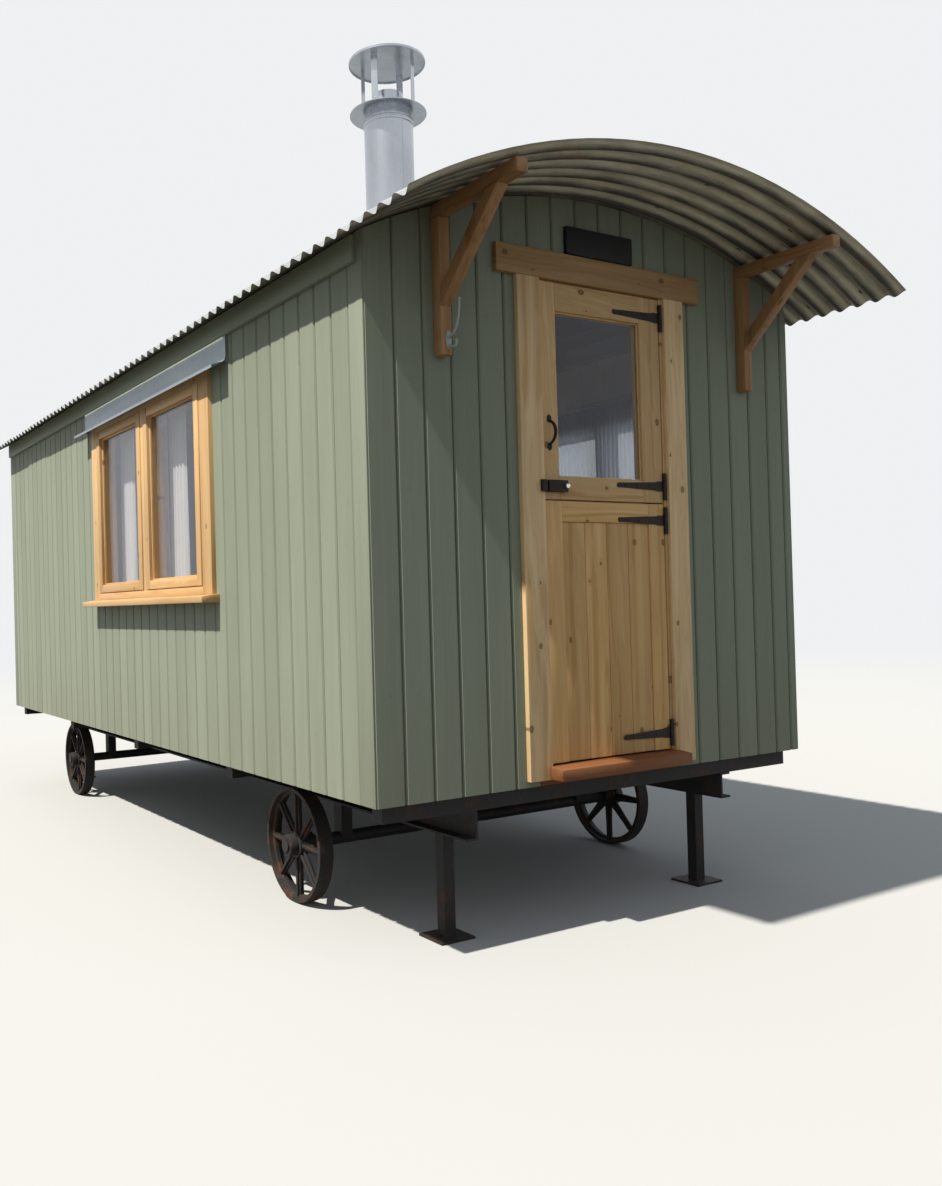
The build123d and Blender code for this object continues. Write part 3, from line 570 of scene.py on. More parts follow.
def moved(shape, offset):
    verts, faces = shape
    return [tuple(a + b for a, b in zip(v, offset)) for v in verts], faces


def arc(centre, radius, start, end, steps):
    """Points (u, v) on an arc, with angles in parts of half a turn."""
    turns = [math.pi * (start + (end - start) * step / steps) for step in range(steps + 1)]
    return [(centre[0] + radius * math.cos(turn), centre[1] + radius * math.sin(turn)) for turn in turns]


def bolt_head(work, centre, facing, radius, height, slot=0):
    """A domed coach bolt head on a surface that faces one way."""
    dome = [(radius, height * 0.25), (radius * 0.72, height * 0.8)]
    profile = [(0.0, 0.0), (radius, 0.0), *dome, (0.0, height)]
    spin = Vector((0, 0, 1)).rotation_difference(Vector(facing)).to_matrix().to_4x4()
    work.solid(lathe_shape(profile, 12), turn=Matrix.Translation(centre) @ spin, slot=slot)


def light_frame(work, axis, depths, u0, u1, z0, z1, face_u, face_z, bevel):
    """Four members around a light that lies along axis x or y: rails sit between the uprights."""
    (d0, d1), up, flat = depths, "z" + axis, axis + "z"
    for a, b, low, high, along in (
        (u0, u0 + face_u, z0, z1, up), (u1 - face_u, u1, z0, z1, up),
        (u0 + face_u, u1 - face_u, z0, z0 + face_z, flat),
        (u0 + face_u, u1 - face_u, z1 - face_z, z1, flat),
    ):
        if axis == "x":
            work.bar((a, d0, low), (b, d1, high), along, bevel)
        else:
            work.bar((d0, a, low), (d1, b, high), along, bevel)


# Cladding
GROOVE = 0.0030
GROOVE_DEPTH = 0.0095
ARRIS = 0.0052
LINING_ARRIS = 0.002
FRONT_COVER = 0.1125
SIDE_COVER = 0.1128
BACK_BOARDS = 18
FIRST_JOINT, LAST_JOINT = -0.909, 0.981
LEAST_BOARD = 0.030


def joint_row(start, cover, stop):
    """Joints one board's cover apart, from start and short of stop."""
    row = [start]
    while row[-1] + cover < stop:
        row.append(row[-1] + cover)
    return row


def clipped(chain, start, end):
    """The part of a chain of (u, depth) points between two u values, with new ends where it is cut."""
    points = []
    for (u0, d0), (u1, d1) in zip(chain, chain[1:]):
        if u1 < start or u0 > end or u1 - u0 < 1e-9:
            if u1 - u0 < 1e-9 and start <= u0 <= end:
                points += [(u0, d0), (u1, d1)]
            continue
        a, b = max(u0, start), min(u1, end)
        slope = (d1 - d0) / (u1 - u0)
        points += [(a, d0 + slope * (a - u0)), (b, d0 + slope * (b - u0))]
    tidy = [points[0]]
    for point in points[1:]:
        if math.dist(point, tidy[-1]) > 1e-7:
            tidy.append(point)
    return tidy


def cut_spans(start, end, top, holes):
    """Strips of one board around holes (u0, u1, z0, z1): each has its (foot, top) pairs."""
    cuts = sorted({start, end} | {u for hole in holes for u in hole[:2] if start < u < end})
    strips = []
    for u0, u1 in zip(cuts, cuts[1:]):
        heights = [(BASE, top)]
        for h0, h1, z0, z1 in holes:
            if h0 < (u0 + u1) / 2 < h1:
                heights = [(BASE, z0)] if z0 > BASE else []
                heights.append((z1, top))
        strips.append((u0, u1, heights))
    return strips


def clad(work, joints, place, top, holes, along):
    """Boards between the joints, through the wall's thickness. top is a height or a function of u."""
    groove = [(0.0, GROOVE_DEPTH), (GROOVE, GROOVE_DEPTH), (GROOVE, ARRIS), (GROOVE + ARRIS, 0.0)]
    lining = [(0.0, WALL - LINING_ARRIS), (LINING_ARRIS, WALL)]
    for start, end in zip(joints, joints[1:]):
        outer, inner = (
            [(start + u, d) for u, d in edge] + [(end - u, d) for u, d in edge[::-1]]
            for edge in (groove, lining)
        )
        offset, tone = work.draw_offset(), work.dice.random()
        for u0, u1, heights in cut_spans(start, end, top, holes):
            outline = clipped(outer, u0, u1) + clipped(inner, u0, u1)[::-1]
            deep = [depth > WALL / 2 for u, depth in outline]
            slots = [0, 0] + [int(a and b) for a, b in zip(deep, deep[1:] + deep[:1])]
            for foot, head in heights:
                lows = [place(u, d, foot) for u, d in outline]
                highs = [place(u, d, head(u) if callable(head) else head) for u, d in outline]
                work.add(lows + highs, prism_faces(len(outline)), along, slots, tone, offset)


def gable(u):
    return ROOF_Z + math.sqrt(GABLE ** 2 - u ** 2)


front_joints = [-HALF] + joint_row(FIRST_JOINT, FRONT_COVER, LAST_JOINT - LEAST_BOARD) + [LAST_JOINT, HALF]
back_joints = [-HALF + k * 2 * HALF / BACK_BOARDS for k in range(BACK_BOARDS + 1)]
side_joints = joint_row(0.093 + SIDE_COVER, SIDE_COVER, LENGTH - WALL - LEAST_BOARD)
side_joints = [WALL] + side_joints + [LENGTH - WALL]
side_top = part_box("left_wall")[1].z - 0.003
door_hole = (FRAME_LEFT, FRAME_RIGHT, BASE - 0.1, FRAME_HEAD)

walls = Work("front_wall_boards", 11, SAGE, LINING)
clad(walls, front_joints, lambda u, d, z: (u, FRONT + d, z), gable, [door_hole], "zx")
walls.done("sage_cladding", "front_wall_left", "front_wall_right", "front_wall_over_door")

walls = Work("back_wall_boards", 12, SAGE, LINING)
clad(walls, back_joints, lambda u, d, z: (u, BACK - d, z), gable, [], "zx")
walls.done("sage_cladding", "back_wall")

for side, y0, y1, top, name in (
    (-1, LEFT_Y0, LEFT_Y1, LEFT_TOP, "left_wall"),
    (1, RIGHT_Y0, RIGHT_Y1, RIGHT_TOP, "right_wall"),
):
    walls = Work(name + "_boards", 13 + side, SAGE, LINING)
    hole = (y0 - FRONT, y1 - FRONT, WINDOW_FOOT, top)
    clad(walls, side_joints, lambda u, d, z: (side * (HALF - d), FRONT + u, z), side_top, [hole], "zy")
    walls.done("sage_cladding", name)

# The end walls' edges show on the long sides as a corner board
corners = Work("corner_strips", 19, SAGE)
for side in (-1, 1):
    for end, inward in ((FRONT, 1), (BACK, -1)):
        low = (side * (HALF - 0.006), end + inward * 0.0015, BASE)
        corners.bar(low, (side * (HALF + 0.0012), end + inward * 0.0865, side_top), "zy", 0.0015)
corners.done("sage_cladding")

# Roof
ARC = math.asin(EAVE / CREST)
SHEET_T = 0.0009
SHEET_STARTS = (0, 9, 18, 27, 36, 45, 54, 61)
SHEET_WAVES = 10
SCREW_ANGLES = (-0.50, -0.30, -0.10, 0.10, 0.30, 0.50)
SCREW_WAVES = 3
FLUE_CLEAR = 0.16
BOARD_ARC = 0.0475


def roof_point(angle, y, radius):
    return (radius * math.sin(angle), y, ROOF_Z + radius * math.cos(angle))


def corrugated_sheet(work, wave0, wave1, trims, lift):
    """One bent sheet over the whole arc, from wave0 to wave1, as a thin closed skin."""
    per_wave = 10
    arcs = 30
    cols = (wave1 - wave0) * per_wave
    left, right = -ARC + trims[0], ARC - trims[1]
    tone = work.dice.random()
    shift = work.dice.uniform(0, 30)
    verts, grain = [], []
    for layer in (0, 1):
        for row in range(arcs + 1):
            angle = left + (right - left) * row / arcs
            for col in range(cols + 1):
                wave = wave0 + col / per_wave
                y = SHEET_Y0 + wave * PITCH
                height = 0.5 + 0.5 * math.cos(2 * math.pi * wave)
                radius = VALLEY + 0.0012 + height * (CREST - VALLEY - 0.0022) + lift - layer * SHEET_T
                verts.append(roof_point(angle, y, radius))
                grain.append([angle * CREST + shift, y + shift, 1.0 - height if layer else height])
    stride = cols + 1
    under = (arcs + 1) * stride
    faces, slots = [], []
    for row in range(arcs):
        for col in range(cols):
            a = row * stride + col
            b = a + under
            faces += [[a, a + stride, a + stride + 1, a + 1], [b, b + 1, b + stride + 1, b + stride]]
            slots += [0, 1]
    ends, eaves = ((0, True), (cols, False)), ((0, False), (arcs, True))
    rim = [(row * stride + col, stride, flip) for row in range(arcs) for col, flip in ends]
    rim += [(row * stride + col, 1, flip) for col in range(cols) for row, flip in eaves]
    for a, after, flip in rim:
        face = [a, a + after, a + after + under, a + under]
        faces.append(face[::-1] if flip else face)
    work.add(verts, faces, "xy", slots + [0] * len(rim), tone, grain=grain)


roof = Work("roof_sheets", 21, ZINC, UNDERSIDE)
for index, start in enumerate(SHEET_STARTS):
    trims = [roof.dice.uniform(0.0, 0.004) for eave in range(2)]
    corrugated_sheet(roof, start, min(start + SHEET_WAVES, WAVES), trims, SHEET_T * (index % 2))
roof.done("galvanised_sheet", "roof_sheet", smooth=50)

screws = Work("roof_screws", 22, ZINC, IRON)
for angle in SCREW_ANGLES:
    for wave in range(2, WAVES, SCREW_WAVES):
        y = SHEET_Y0 + wave * PITCH
        if abs(roof_point(angle, y, CREST)[0] - FLUE_X) < FLUE_CLEAR and abs(y - FLUE_Y) < FLUE_CLEAR:
            continue
        at = roof_point(angle, y, CREST - 0.0032)
        facing = (math.sin(angle), 0, math.cos(angle))
        bolt_head(screws, at, facing, 0.0095, 0.0022, 1)
        bolt_head(screws, at, facing, 0.0048, 0.0030, 0)
screws.done("galvanised_sheet")

ceiling = Work("ceiling_boards", 23, CEILING)
edge = math.asin((HALF - 0.001) / GABLE)
count = int(2 * edge / BOARD_ARC) + 1
gap = 0.0016 / BOARDING
over = GABLE - 0.001
for index in range(count):
    a0, a1 = (-edge + 2 * edge * joint / count for joint in (index, index + 1))
    middle = (a0 + a1) / 2
    outline = [
        (a0 + gap, BOARDING), (middle, BOARDING), (a1 - gap, BOARDING), (a1, BOARDING + 0.004),
        (a1, over), (middle, over), (a0, over), (a0, BOARDING + 0.004),
    ]
    ceiling.solid(slab_shape(outline, lambda a, r, y: roof_point(a, y, r), INNER_Y, BACK - WALL), "yx")
ceiling.done("roof_boards", "roof_boarding")

fascias = Work("eaves_fascias", 24, SAGE)
fascia_low, fascia_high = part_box("fascias")
for side in (-1, 1):
    high = (side * fascia_high.x, fascia_high.y, gable(fascia_high.x))
    fascias.bar((side * HALF, fascia_low.y, fascia_low.z), high, "yz")
fascias.done("sage_cladding", "fascias")

# Floor inside
PLANKS = 14
planks = Work("floor_planks", 31, FLOOR_WOOD)
wide = 2 * (HALF - WALL) / PLANKS
for index in range(PLANKS):
    x0 = -(HALF - WALL) + wide * index
    low, high = (x0 + 0.0006, INNER_Y, BASE), (x0 + wide - 0.0006, BACK - WALL, FLOOR_TOP)
    planks.bar(low, high, "yx", 0.0015, 1)
planks.done("floor_boards", "floor")

# Doorway
jambs = Work("door_frame", 41, PINE)
stop_y = LEAF_BACK + 0.005
for low, high, along, bevel in (
    ((FRAME_LEFT, FRONT, DOOR_FOOT), (DOOR_LEFT, INNER_Y, FRAME_HEAD), "zy", 0.0015),
    ((DOOR_LEFT, stop_y, DOOR_FOOT), (DOOR_LEFT + STOP, INNER_Y, DOOR_HEAD), "zy", 0.002),
    ((DOOR_RIGHT, FRONT, DOOR_FOOT), (FRAME_RIGHT, INNER_Y, FRAME_HEAD), "zy", 0.0015),
    ((HINGE_JAMB, LEAF_FRONT, DOOR_FOOT), (DOOR_RIGHT, INNER_Y, DOOR_HEAD), "zy", 0.0015),
    ((HINGE_JAMB - STOP, stop_y, DOOR_FOOT), (HINGE_JAMB, INNER_Y, DOOR_HEAD), "zy", 0.002),
    ((DOOR_LEFT, FRONT, DOOR_HEAD), (DOOR_RIGHT, INNER_Y, FRAME_HEAD), "xy", 0.0015),
    ((DOOR_LEFT + STOP, stop_y, DOOR_HEAD - STOP), (HINGE_JAMB - STOP, INNER_Y, DOOR_HEAD), "xy", 0.002),
):
    jambs.bar(low, high, along, bevel)
jambs.done("pale_pine", "door_jambs", "door_frame_head")

trims = Work("door_surround", 46, TRIM_PINE)
trim_low, trim_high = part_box("door_trims")
trims.bar(trim_low, (DOOR_LEFT, FRONT, DOOR_HEAD), "zx", 0.003)
trims.bar((DOOR_RIGHT, FRONT - TRIM_T, trim_low.z), trim_high, "zx", 0.003)
trims.done("pale_pine", "door_trims")

# The head board's darker pine is painted shade from the roof above
head = Work("door_head_board", 43, HEAD_SHADED_PINE)
head.bar(*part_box("head_board"), "xz", 0.003)
head.done("pale_pine", "head_board")

SILL_END = 0.014
SILL_T = 0.046
SILL_FALL = 0.006
sill = Work("door_sill_board", 44, SILL_WOOD)
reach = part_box("door_sill")[0].y
outline = [
    (FRONT - TRIM_T, DOOR_FOOT), (reach, DOOR_FOOT - SILL_FALL), (reach, DOOR_FOOT - SILL_T),
    (FRONT - TRIM_T, DOOR_FOOT - SILL_T),
]
nosing = slab_shape(outline, lambda y, z, x: (x, y, z), DOOR_LEFT - SILL_END, DOOR_RIGHT + SILL_END)
sill.solid(nosing, "xy", 0.004)
sill.bar((DOOR_LEFT, FRONT - TRIM_T, trim_low.z), (DOOR_RIGHT, INNER_Y, DOOR_FOOT), "xy", 0.001)
sill.bar((FRAME_LEFT, FRONT, BASE), (FRAME_RIGHT, INNER_Y, DOOR_FOOT), "xy", 0.001)
sill.done("hardwood_sill", "door_sill")

plaque = Work("bare_plaque", 45, PLAQUE)
plaque.bar(*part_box("name_plaque"), "xz", 0.003)
plaque.done("dark_board", "name_plaque")

# Stable door
LEAF_T = 0.044
BOARDS = (0.004, 0.030)
BEAD = 0.007
GLASS_T = 0.006


def leaf_face(work, x0, x1, z0, z1, along, depths=(0.0, LEAF_T), bevel=0.0022):
    work.bar((x0, LEAF_FRONT + depths[0], z0), (x1, LEAF_FRONT + depths[1], z1), along, bevel)


pane_x0, _, pane_z0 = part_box("upper_leaf_glass")[0]
pane_x1, _, pane_z1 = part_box("upper_leaf_glass")[1]
glass_y = LEAF_FRONT + 0.017
glass_front, glass_back = glass_y - GLASS_T / 2, glass_y + GLASS_T / 2

upper = Work("upper_leaf_timber", 51, PINE)
leaf_face(upper, LEAF_LEFT, pane_x0, UPPER_FOOT, LEAF_TOP, "zx")
leaf_face(upper, pane_x1, LEAF_RIGHT, UPPER_FOOT, LEAF_TOP, "zx")
leaf_face(upper, pane_x0, pane_x1, UPPER_FOOT, pane_z0, "xz")
leaf_face(upper, pane_x0, pane_x1, pane_z1, LEAF_TOP, "xz")
for depths in ((glass_y - 0.009, glass_front), (glass_back, glass_y + 0.016)):
    light_frame(upper, "x", depths, pane_x0, pane_x1, pane_z0, pane_z1, BEAD, BEAD, 0.003)
upper.done("pale_pine", "upper_leaf_frame", "upper_leaf_bead", body="upper_door")

pane = Work("upper_leaf_pane", 52, PANE)
pane.bar((pane_x0, glass_front, pane_z0), (pane_x1, glass_back, pane_z1), bevel=0.0)
pane.done("clear_glass", "upper_leaf_glass", body="upper_door")

lower = Work("lower_leaf_timber", 53, LEAF_PINE)
panel_x0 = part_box("lower_leaf_boards")[0].x
panel_x1, _, panel_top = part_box("lower_leaf_boards")[1]
leaf_face(lower, LEAF_LEFT, panel_x0, LEAF_FOOT, LOWER_TOP, "zx")
leaf_face(lower, panel_x1, LEAF_RIGHT, LEAF_FOOT, LOWER_TOP, "zx")
leaf_face(lower, panel_x0, panel_x1, panel_top, LOWER_TOP, "xz")
leaf_face(lower, panel_x0, panel_x1, LEAF_FOOT, panel_top, "zx", (BOARDS[1], LEAF_T), 0.001)
board = (panel_x1 - panel_x0) / 4
for index in range(4):
    x0 = panel_x0 + index * board
    leaf_face(lower, x0 + 0.0004, x0 + board - 0.0004, LEAF_FOOT, panel_top, "zx", BOARDS, 0.0035)
lower.done("pale_pine", "lower_leaf_frame", "lower_leaf_boards", body="lower_door")

# Strap hinges, handle and lock
KNUCKLE_R = 0.006
HINGE_X = HINGE_JAMB - 0.0025
HINGE_Y = LEAF_FRONT - KNUCKLE_R
STRAP_T = 0.003
STRAP_FACE = LEAF_FRONT - STRAP_T
TO_FRONT = (0, -1, 0)
UPPER_HINGES = (LEAF_TOP - 0.070, UPPER_FOOT + 0.061)
LOWER_HINGES = (LOWER_TOP - 0.061, LEAF_FOOT + 0.061)


def knuckle(work, low, high):
    barrel = [(0.0056, low), (KNUCKLE_R, low + 0.0008), (KNUCKLE_R, high - 0.0008), (0.0056, high)]
    work.solid(moved(lathe_shape([(0.0, low), *barrel, (0.0, high)], 20), (HINGE_X, HINGE_Y, 0)))


def strap(work, height):
    """A long tapered strap with a rounded end, its bolts and the middle knuckle."""
    tip = HINGE_X - 0.238
    root = HINGE_X - 0.030
    waist = [(tip + 0.012, -0.0085), (HINGE_X - 0.044, -0.0155), (root, -0.019), (HINGE_X, -0.019)]
    outline = [(x, -z) for x, z in waist[::-1]] + arc((tip + 0.0095, 0.0), 0.0095, 0.5, 1.5, 6) + waist
    flat = slab_shape(outline, lambda x, z, y: (x, y, height + z), LEAF_FRONT, STRAP_FACE)
    work.solid(flat, "xz", 0.0006, 1)
    for offset, lift, radius in (
        (0.020, 0.006, 0.0052), (0.075, 0.0, 0.0048), (0.135, 0.0, 0.0045), (0.195, 0.0, 0.0042),
    ):
        bolt_head(work, (HINGE_X - offset, STRAP_FACE, height + lift), TO_FRONT, radius, 0.0022)
    knuckle(work, height - 0.0186, height + 0.0186)


for name, body, heights in (("upper", "upper_door", UPPER_HINGES), ("lower", "lower_door", LOWER_HINGES)):
    straps = Work(name + "_straps", 61, IRON)
    for height in heights:
        strap(straps, height)
    straps.done("black_iron", name + "_leaf_straps", body=body)

plates = Work("jamb_plates", 62, IRON)
for height in UPPER_HINGES + LOWER_HINGES:
    knuckle(plates, height - 0.050, height - 0.0202)
    knuckle(plates, height + 0.0202, height + 0.050)
    low = (HINGE_JAMB + 0.0035, STRAP_FACE, height - 0.050)
    plates.bar(low, (DOOR_RIGHT - 0.001, LEAF_FRONT, height + 0.050), "zx", 0.0006, 1)
    for z in (-0.036, -0.012, 0.012, 0.036):
        bolt_head(plates, (DOOR_RIGHT - 0.0058, STRAP_FACE, height + z), TO_FRONT, 0.003, 0.0016)
plates.done("black_iron", "hinge_plates")


def bent_rod(work, path, radii, around=14):
    """A round rod along points in one upright plane that looks towards X, thick as radii says."""
    across = Vector((1, 0, 0))
    verts = []
    for index, (centre, radius) in enumerate(zip(path, radii)):
        ahead = path[min(index + 1, len(path) - 1)] - path[max(index - 1, 0)]
        out = ahead.normalized().cross(across)
        for spoke in range(around):
            a = 2 * math.pi * spoke / around
            verts.append(tuple(centre + (out * math.cos(a) + across * math.sin(a)) * radius))
    rings = [list(range(first, first + around)) for first in range(0, len(verts), around)]
    faces = []
    for low, high in zip(rings, rings[1:]):
        turned = zip(low, low[1:] + low[:1], high[1:] + high[:1], high)
        faces += [list(face) for face in turned]
    work.solid((verts, faces + [rings[0][::-1], rings[-1]]))


def bow_handle(work):
    """A bent round bar that swells in the middle, with a spade shaped pad at each end."""
    x, middle = LEAF_LEFT + 0.028, BASE + 1.224
    half, reach, steps = 0.041, 0.034, 24
    bend = (half ** 2 + reach ** 2) / (2 * reach)
    sweep = math.asin(half / bend)
    turns = [-sweep + 2 * sweep * step / steps for step in range(steps + 1)]
    front = LEAF_FRONT - reach
    path = [Vector((x, front + bend * (1 - math.cos(t)), middle + bend * math.sin(t))) for t in turns]
    bent_rod(work, path, [0.0042 + 0.0018 * math.cos(t / sweep * math.pi / 2) for t in turns])
    spade = [(0.0055, -0.013), (0.0105, -0.004), (0.0095, 0.006), (0.004, 0.0125)]
    outline = spade + [(0.0, 0.0145)] + [(-u, v) for u, v in spade[::-1]]
    for end in (-1, 1):
        z = middle + end * (half + 0.008)
        pad = slab_shape(outline, lambda u, v, y: (x + u, y, z + end * v), LEAF_FRONT, STRAP_FACE)
        work.solid(pad, "zx", 0.0008, 1)
        bolt_head(work, (x, STRAP_FACE, z + end * 0.006), TO_FRONT, 0.0032, 0.0015)


handle = Work("bow_handle", 63, IRON)
bow_handle(handle)
handle.done("black_iron", "pull_handle", body="upper_door")

LOCK_Z0, LOCK_Z1 = UPPER_FOOT + 0.024, UPPER_FOOT + 0.065
LOCK_FACE = LEAF_FRONT - 0.026
lock = Work("rim_lock", 64, IRON, KNOB)
lock_x1 = LEAF_LEFT + 0.088
lock.bar((LEAF_LEFT, LOCK_FACE, LOCK_Z0), (lock_x1, LEAF_FRONT, LOCK_Z1), "xz", 0.003)
knob = [
    (0.0, 0.0), (0.0065, 0.0), (0.0065, 0.004), (0.0090, 0.007), (0.0090, 0.011), (0.0060, 0.014),
    (0.0, 0.0145),
]
knob_at = Matrix.Translation((lock_x1 - 0.011, LOCK_FACE, (LOCK_Z0 + LOCK_Z1) / 2))
lock.solid(lathe_shape(knob, 22), turn=knob_at @ Matrix.Rotation(math.pi / 2, 4, "X"), slot=1)
lock.done("black_iron", "door_lock", body="upper_door")

keep = Work("keep_block", 65, IRON)
keep.bar((DOOR_LEFT - 0.022, LOCK_FACE, LOCK_Z0), (DOOR_LEFT, FRONT - TRIM_T, LOCK_Z1), "xz", 0.002)
keep.done("black_iron", "lock_keep")

# Porch brackets
BRACKET = 0.733
SIZE = 0.044
ARM = 0.440
brackets = Work("porch_brackets", 71, STAINED)
arm_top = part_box("bracket_arms")[1].z
arm_foot = arm_top - SIZE
post_foot = BASE + 1.444
brace_foot = BASE + 1.600
post_front = FRONT - SIZE
brace_top = FRONT - 0.350
rise = arm_foot - brace_foot
run = post_front - brace_top
slant = math.hypot(rise, run)
outline = [
    (post_front, brace_foot), (post_front, brace_foot + SIZE * slant / run),
    (brace_top + SIZE * slant / rise, arm_foot), (brace_top, arm_foot),
]
for side in (-1, 1):
    x0, x1 = side * BRACKET - SIZE / 2, side * BRACKET + SIZE / 2
    brackets.bar((x0, post_front, post_foot), (x1, FRONT, arm_foot), "zx", 0.004)
    brackets.bar((x0, FRONT - ARM, arm_foot), (x1, FRONT, arm_top), "yx", 0.004)
    brackets.solid(slab_shape(outline, lambda y, z, x: (x, y, z), x0, x1), "zx", 0.003)
brackets.done("stained_pine", "bracket_posts", "bracket_arms", "bracket_braces")

# Coat hook on the left bracket's post: two prongs with balls on an oval plate
HOOK_X = -BRACKET + 0.006
PRONGS = (
    ((0.002, 1.500), (0.062, 1.508), (0.064, 1.611), 0.0058),
    ((0.002, 1.474), (0.044, 1.452), (0.044, 1.482), 0.0052),
)


def bow(start, bend, end, steps=14):
    """Points along a smooth bend from start to end, in the upright plane of the hook."""
    points = []
    for step in range(steps + 1):
        t = step / steps
        y, z = ((1 - t) ** 2 * a + 2 * t * (1 - t) * b + t ** 2 * c for a, b, c in zip(start, bend, end))
        points.append(Vector((HOOK_X, post_front - y, BASE + z)))
    return points


hook = Work("coat_hook", 72, HOOK_PAINT)
turns = [2 * math.pi * step / 24 for step in range(24)]
oval = [(HOOK_X + 0.0115 * math.cos(turn), BASE + (1.493 + 0.031 * math.sin(turn))) for turn in turns]
hook.solid(slab_shape(oval, lambda x, z, y: (x, y, z), post_front, post_front - 0.003), "zx", 0.001, 1)
for start, bend, end, ball in PRONGS:
    path = bow(start, bend, end)
    bent_rod(hook, path, [0.0048 - 0.0014 * index / len(path) for index in range(len(path))])
    rounds = [(ball * math.sin(k * math.pi / 8), -ball * math.cos(k * math.pi / 8)) for k in range(9)]
    hook.solid(moved(lathe_shape(rounds, 16), path[-1]))
hook.done("lead_grey")

# Windows, with depths measured out from the wall's outer face
PROUD = 0.020
INWARD = PROUD - 0.100
SASH, SASH_RAIL, SASH_T = 0.053, 0.043, 0.044
PANE_FACE = PROUD - 0.022
RIGHT_JAMB, RIGHT_HEAD = 0.076, 0.066
EASE = 0.002


def from_wall(side, *depths):
    return [side * (HALF + depth) for depth in depths]


def window_box(work, side, y0, y1, top, jamb, rail, mullion):
    """A window's outer frame and mullion. Returns its two lights' ends, their foot and their head."""
    z0, z1, middle = WINDOW_FOOT + rail, top - rail, (y0 + y1) / 2
    near, far = from_wall(side, INWARD, PROUD)
    light_frame(work, "y", (near, far), y0, y1, WINDOW_FOOT, top, jamb, rail, EASE)
    work.bar((near, middle - mullion, z0), (far, middle + mullion, z1), "zy", EASE)
    return ((y0 + jamb, middle - mullion), (middle + mullion, y1 - jamb)), z0, z1


def glaze(work, panes, side, y0, y1, z0, z1, bead, bead_face):
    """A pane in one light, with its bead in front."""
    light_frame(work, "y", from_wall(side, PANE_FACE, bead_face), y0, y1, z0, z1, bead, bead, 0.003)
    near, far = from_wall(side, PANE_FACE - GLASS_T, PANE_FACE)
    panes.bar((near, y0, z0), (far, y1, z1), bevel=0.0)


panes = Work("window_panes", 82, PANE)
left = Work("left_window_timber", 81, OILED)
left_lights, z0, z1 = window_box(left, -1, LEFT_Y0, LEFT_Y1, LEFT_TOP, 0.099, 0.036, 0.022)
depths = from_wall(-1, PROUD - SASH_T, PROUD + 0.004)
for y0, y1 in left_lights:
    edges = (y0 + EASE, y1 - EASE, z0 + EASE, z1 - EASE)
    light_frame(left, "y", depths, *edges, SASH - EASE, SASH_RAIL - EASE, 0.003)
    glass = (y0 + SASH, y1 - SASH, z0 + SASH_RAIL, z1 - SASH_RAIL)
    glaze(left, panes, -1, *glass, 0.008, PROUD - 0.010)
left.done("stained_pine", "left_window_frame")

right = Work("right_window_timber", 83, OILED)
right_lights, z0, z1 = window_box(right, 1, RIGHT_Y0, RIGHT_Y1, RIGHT_TOP, RIGHT_JAMB, 0.048, 0.028)
near, far = from_wall(1, INWARD + EASE, PROUD - EASE)
light_top = RIGHT_TOP - RIGHT_HEAD
right.bar((near, RIGHT_Y0 + RIGHT_JAMB, light_top), (far, RIGHT_Y1 - RIGHT_JAMB, z1 + EASE), "yz", EASE)
for y0, y1 in right_lights:
    glaze(right, panes, 1, y0, y1, z0, light_top, 0.012, PROUD - 0.008)
right.done("stained_pine", "right_window_frame")
panes.done("clear_glass", "window_glass")

# The sill boards slope from the frame's face to a nosing
NOSING = HALF + 0.080
SILL_DEEP = 0.034
sills = Work("window_sill_boards", 84, OILED)
outline = [
    (HALF, WINDOW_FOOT), (HALF + PROUD, WINDOW_FOOT), (NOSING, WINDOW_FOOT - 0.008),
    (NOSING, WINDOW_FOOT - SILL_DEEP), (HALF, WINDOW_FOOT - SILL_DEEP),
]
for side, y0, y1 in ((-1, LEFT_Y0, LEFT_Y1), (1, RIGHT_Y0, RIGHT_Y1)):
    sills.solid(slab_shape(outline, lambda u, z, y: (side * u, y, z), y0 - 0.030, y1 + 0.030), "yx", 0.003)
sills.done("stained_pine", "window_sills")

HOOD_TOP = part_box("window_hoods")[1].z
HOOD_T = 0.0016
HOOD_FACE = HALF + 0.012
HOOD_LIP = HALF + 0.074
ROLL_R = 0.0055


def hood(work, side, y0, y1):
    """A folded sheet under the fascia: an upright face with a top roll in a paler cream finish that is a
    painted highlight, and a lip for the rain.
    """
    outline = [
        (HALF + 0.001, 0.0), (HOOD_FACE, 0.0), (HOOD_FACE, -0.084), (HOOD_FACE + 0.004, -0.098),
        (HOOD_FACE + 0.014, -0.107), (HOOD_LIP, -0.122), (HOOD_LIP, -0.134),
        (HOOD_LIP - HOOD_T, -0.134), (HOOD_LIP - HOOD_T, -0.124), (HOOD_FACE + 0.013, -0.109),
        (HOOD_FACE + 0.0025, -0.099), (HOOD_FACE - HOOD_T, -0.085), (HOOD_FACE - HOOD_T, -HOOD_T),
        (HALF + 0.001, -HOOD_T),
    ]
    roll = arc((HOOD_FACE, -0.0058), ROLL_R, -0.5, 0.5, 8)
    # Slot 1 on the roll is the paler cream finish, a painted highlight
    for section, inset, slot in ((outline, 0.0, 0), (roll, 0.012, 1)):
        shape = slab_shape(section, lambda u, z, y: (side * u, y, HOOD_TOP + z), y0 + inset, y1 - inset)
        work.solid(shape, "yx", slot=slot)
    for near, far in ((y0 + 0.001, y0 + 0.019), (y1 - 0.019, y1 - 0.001)):
        low = (side * HALF, near, HOOD_TOP - 0.105)
        work.bar(low, (side * (HOOD_FACE - HOOD_T), far, HOOD_TOP - HOOD_T), "zy", 0.001, 1, 2)


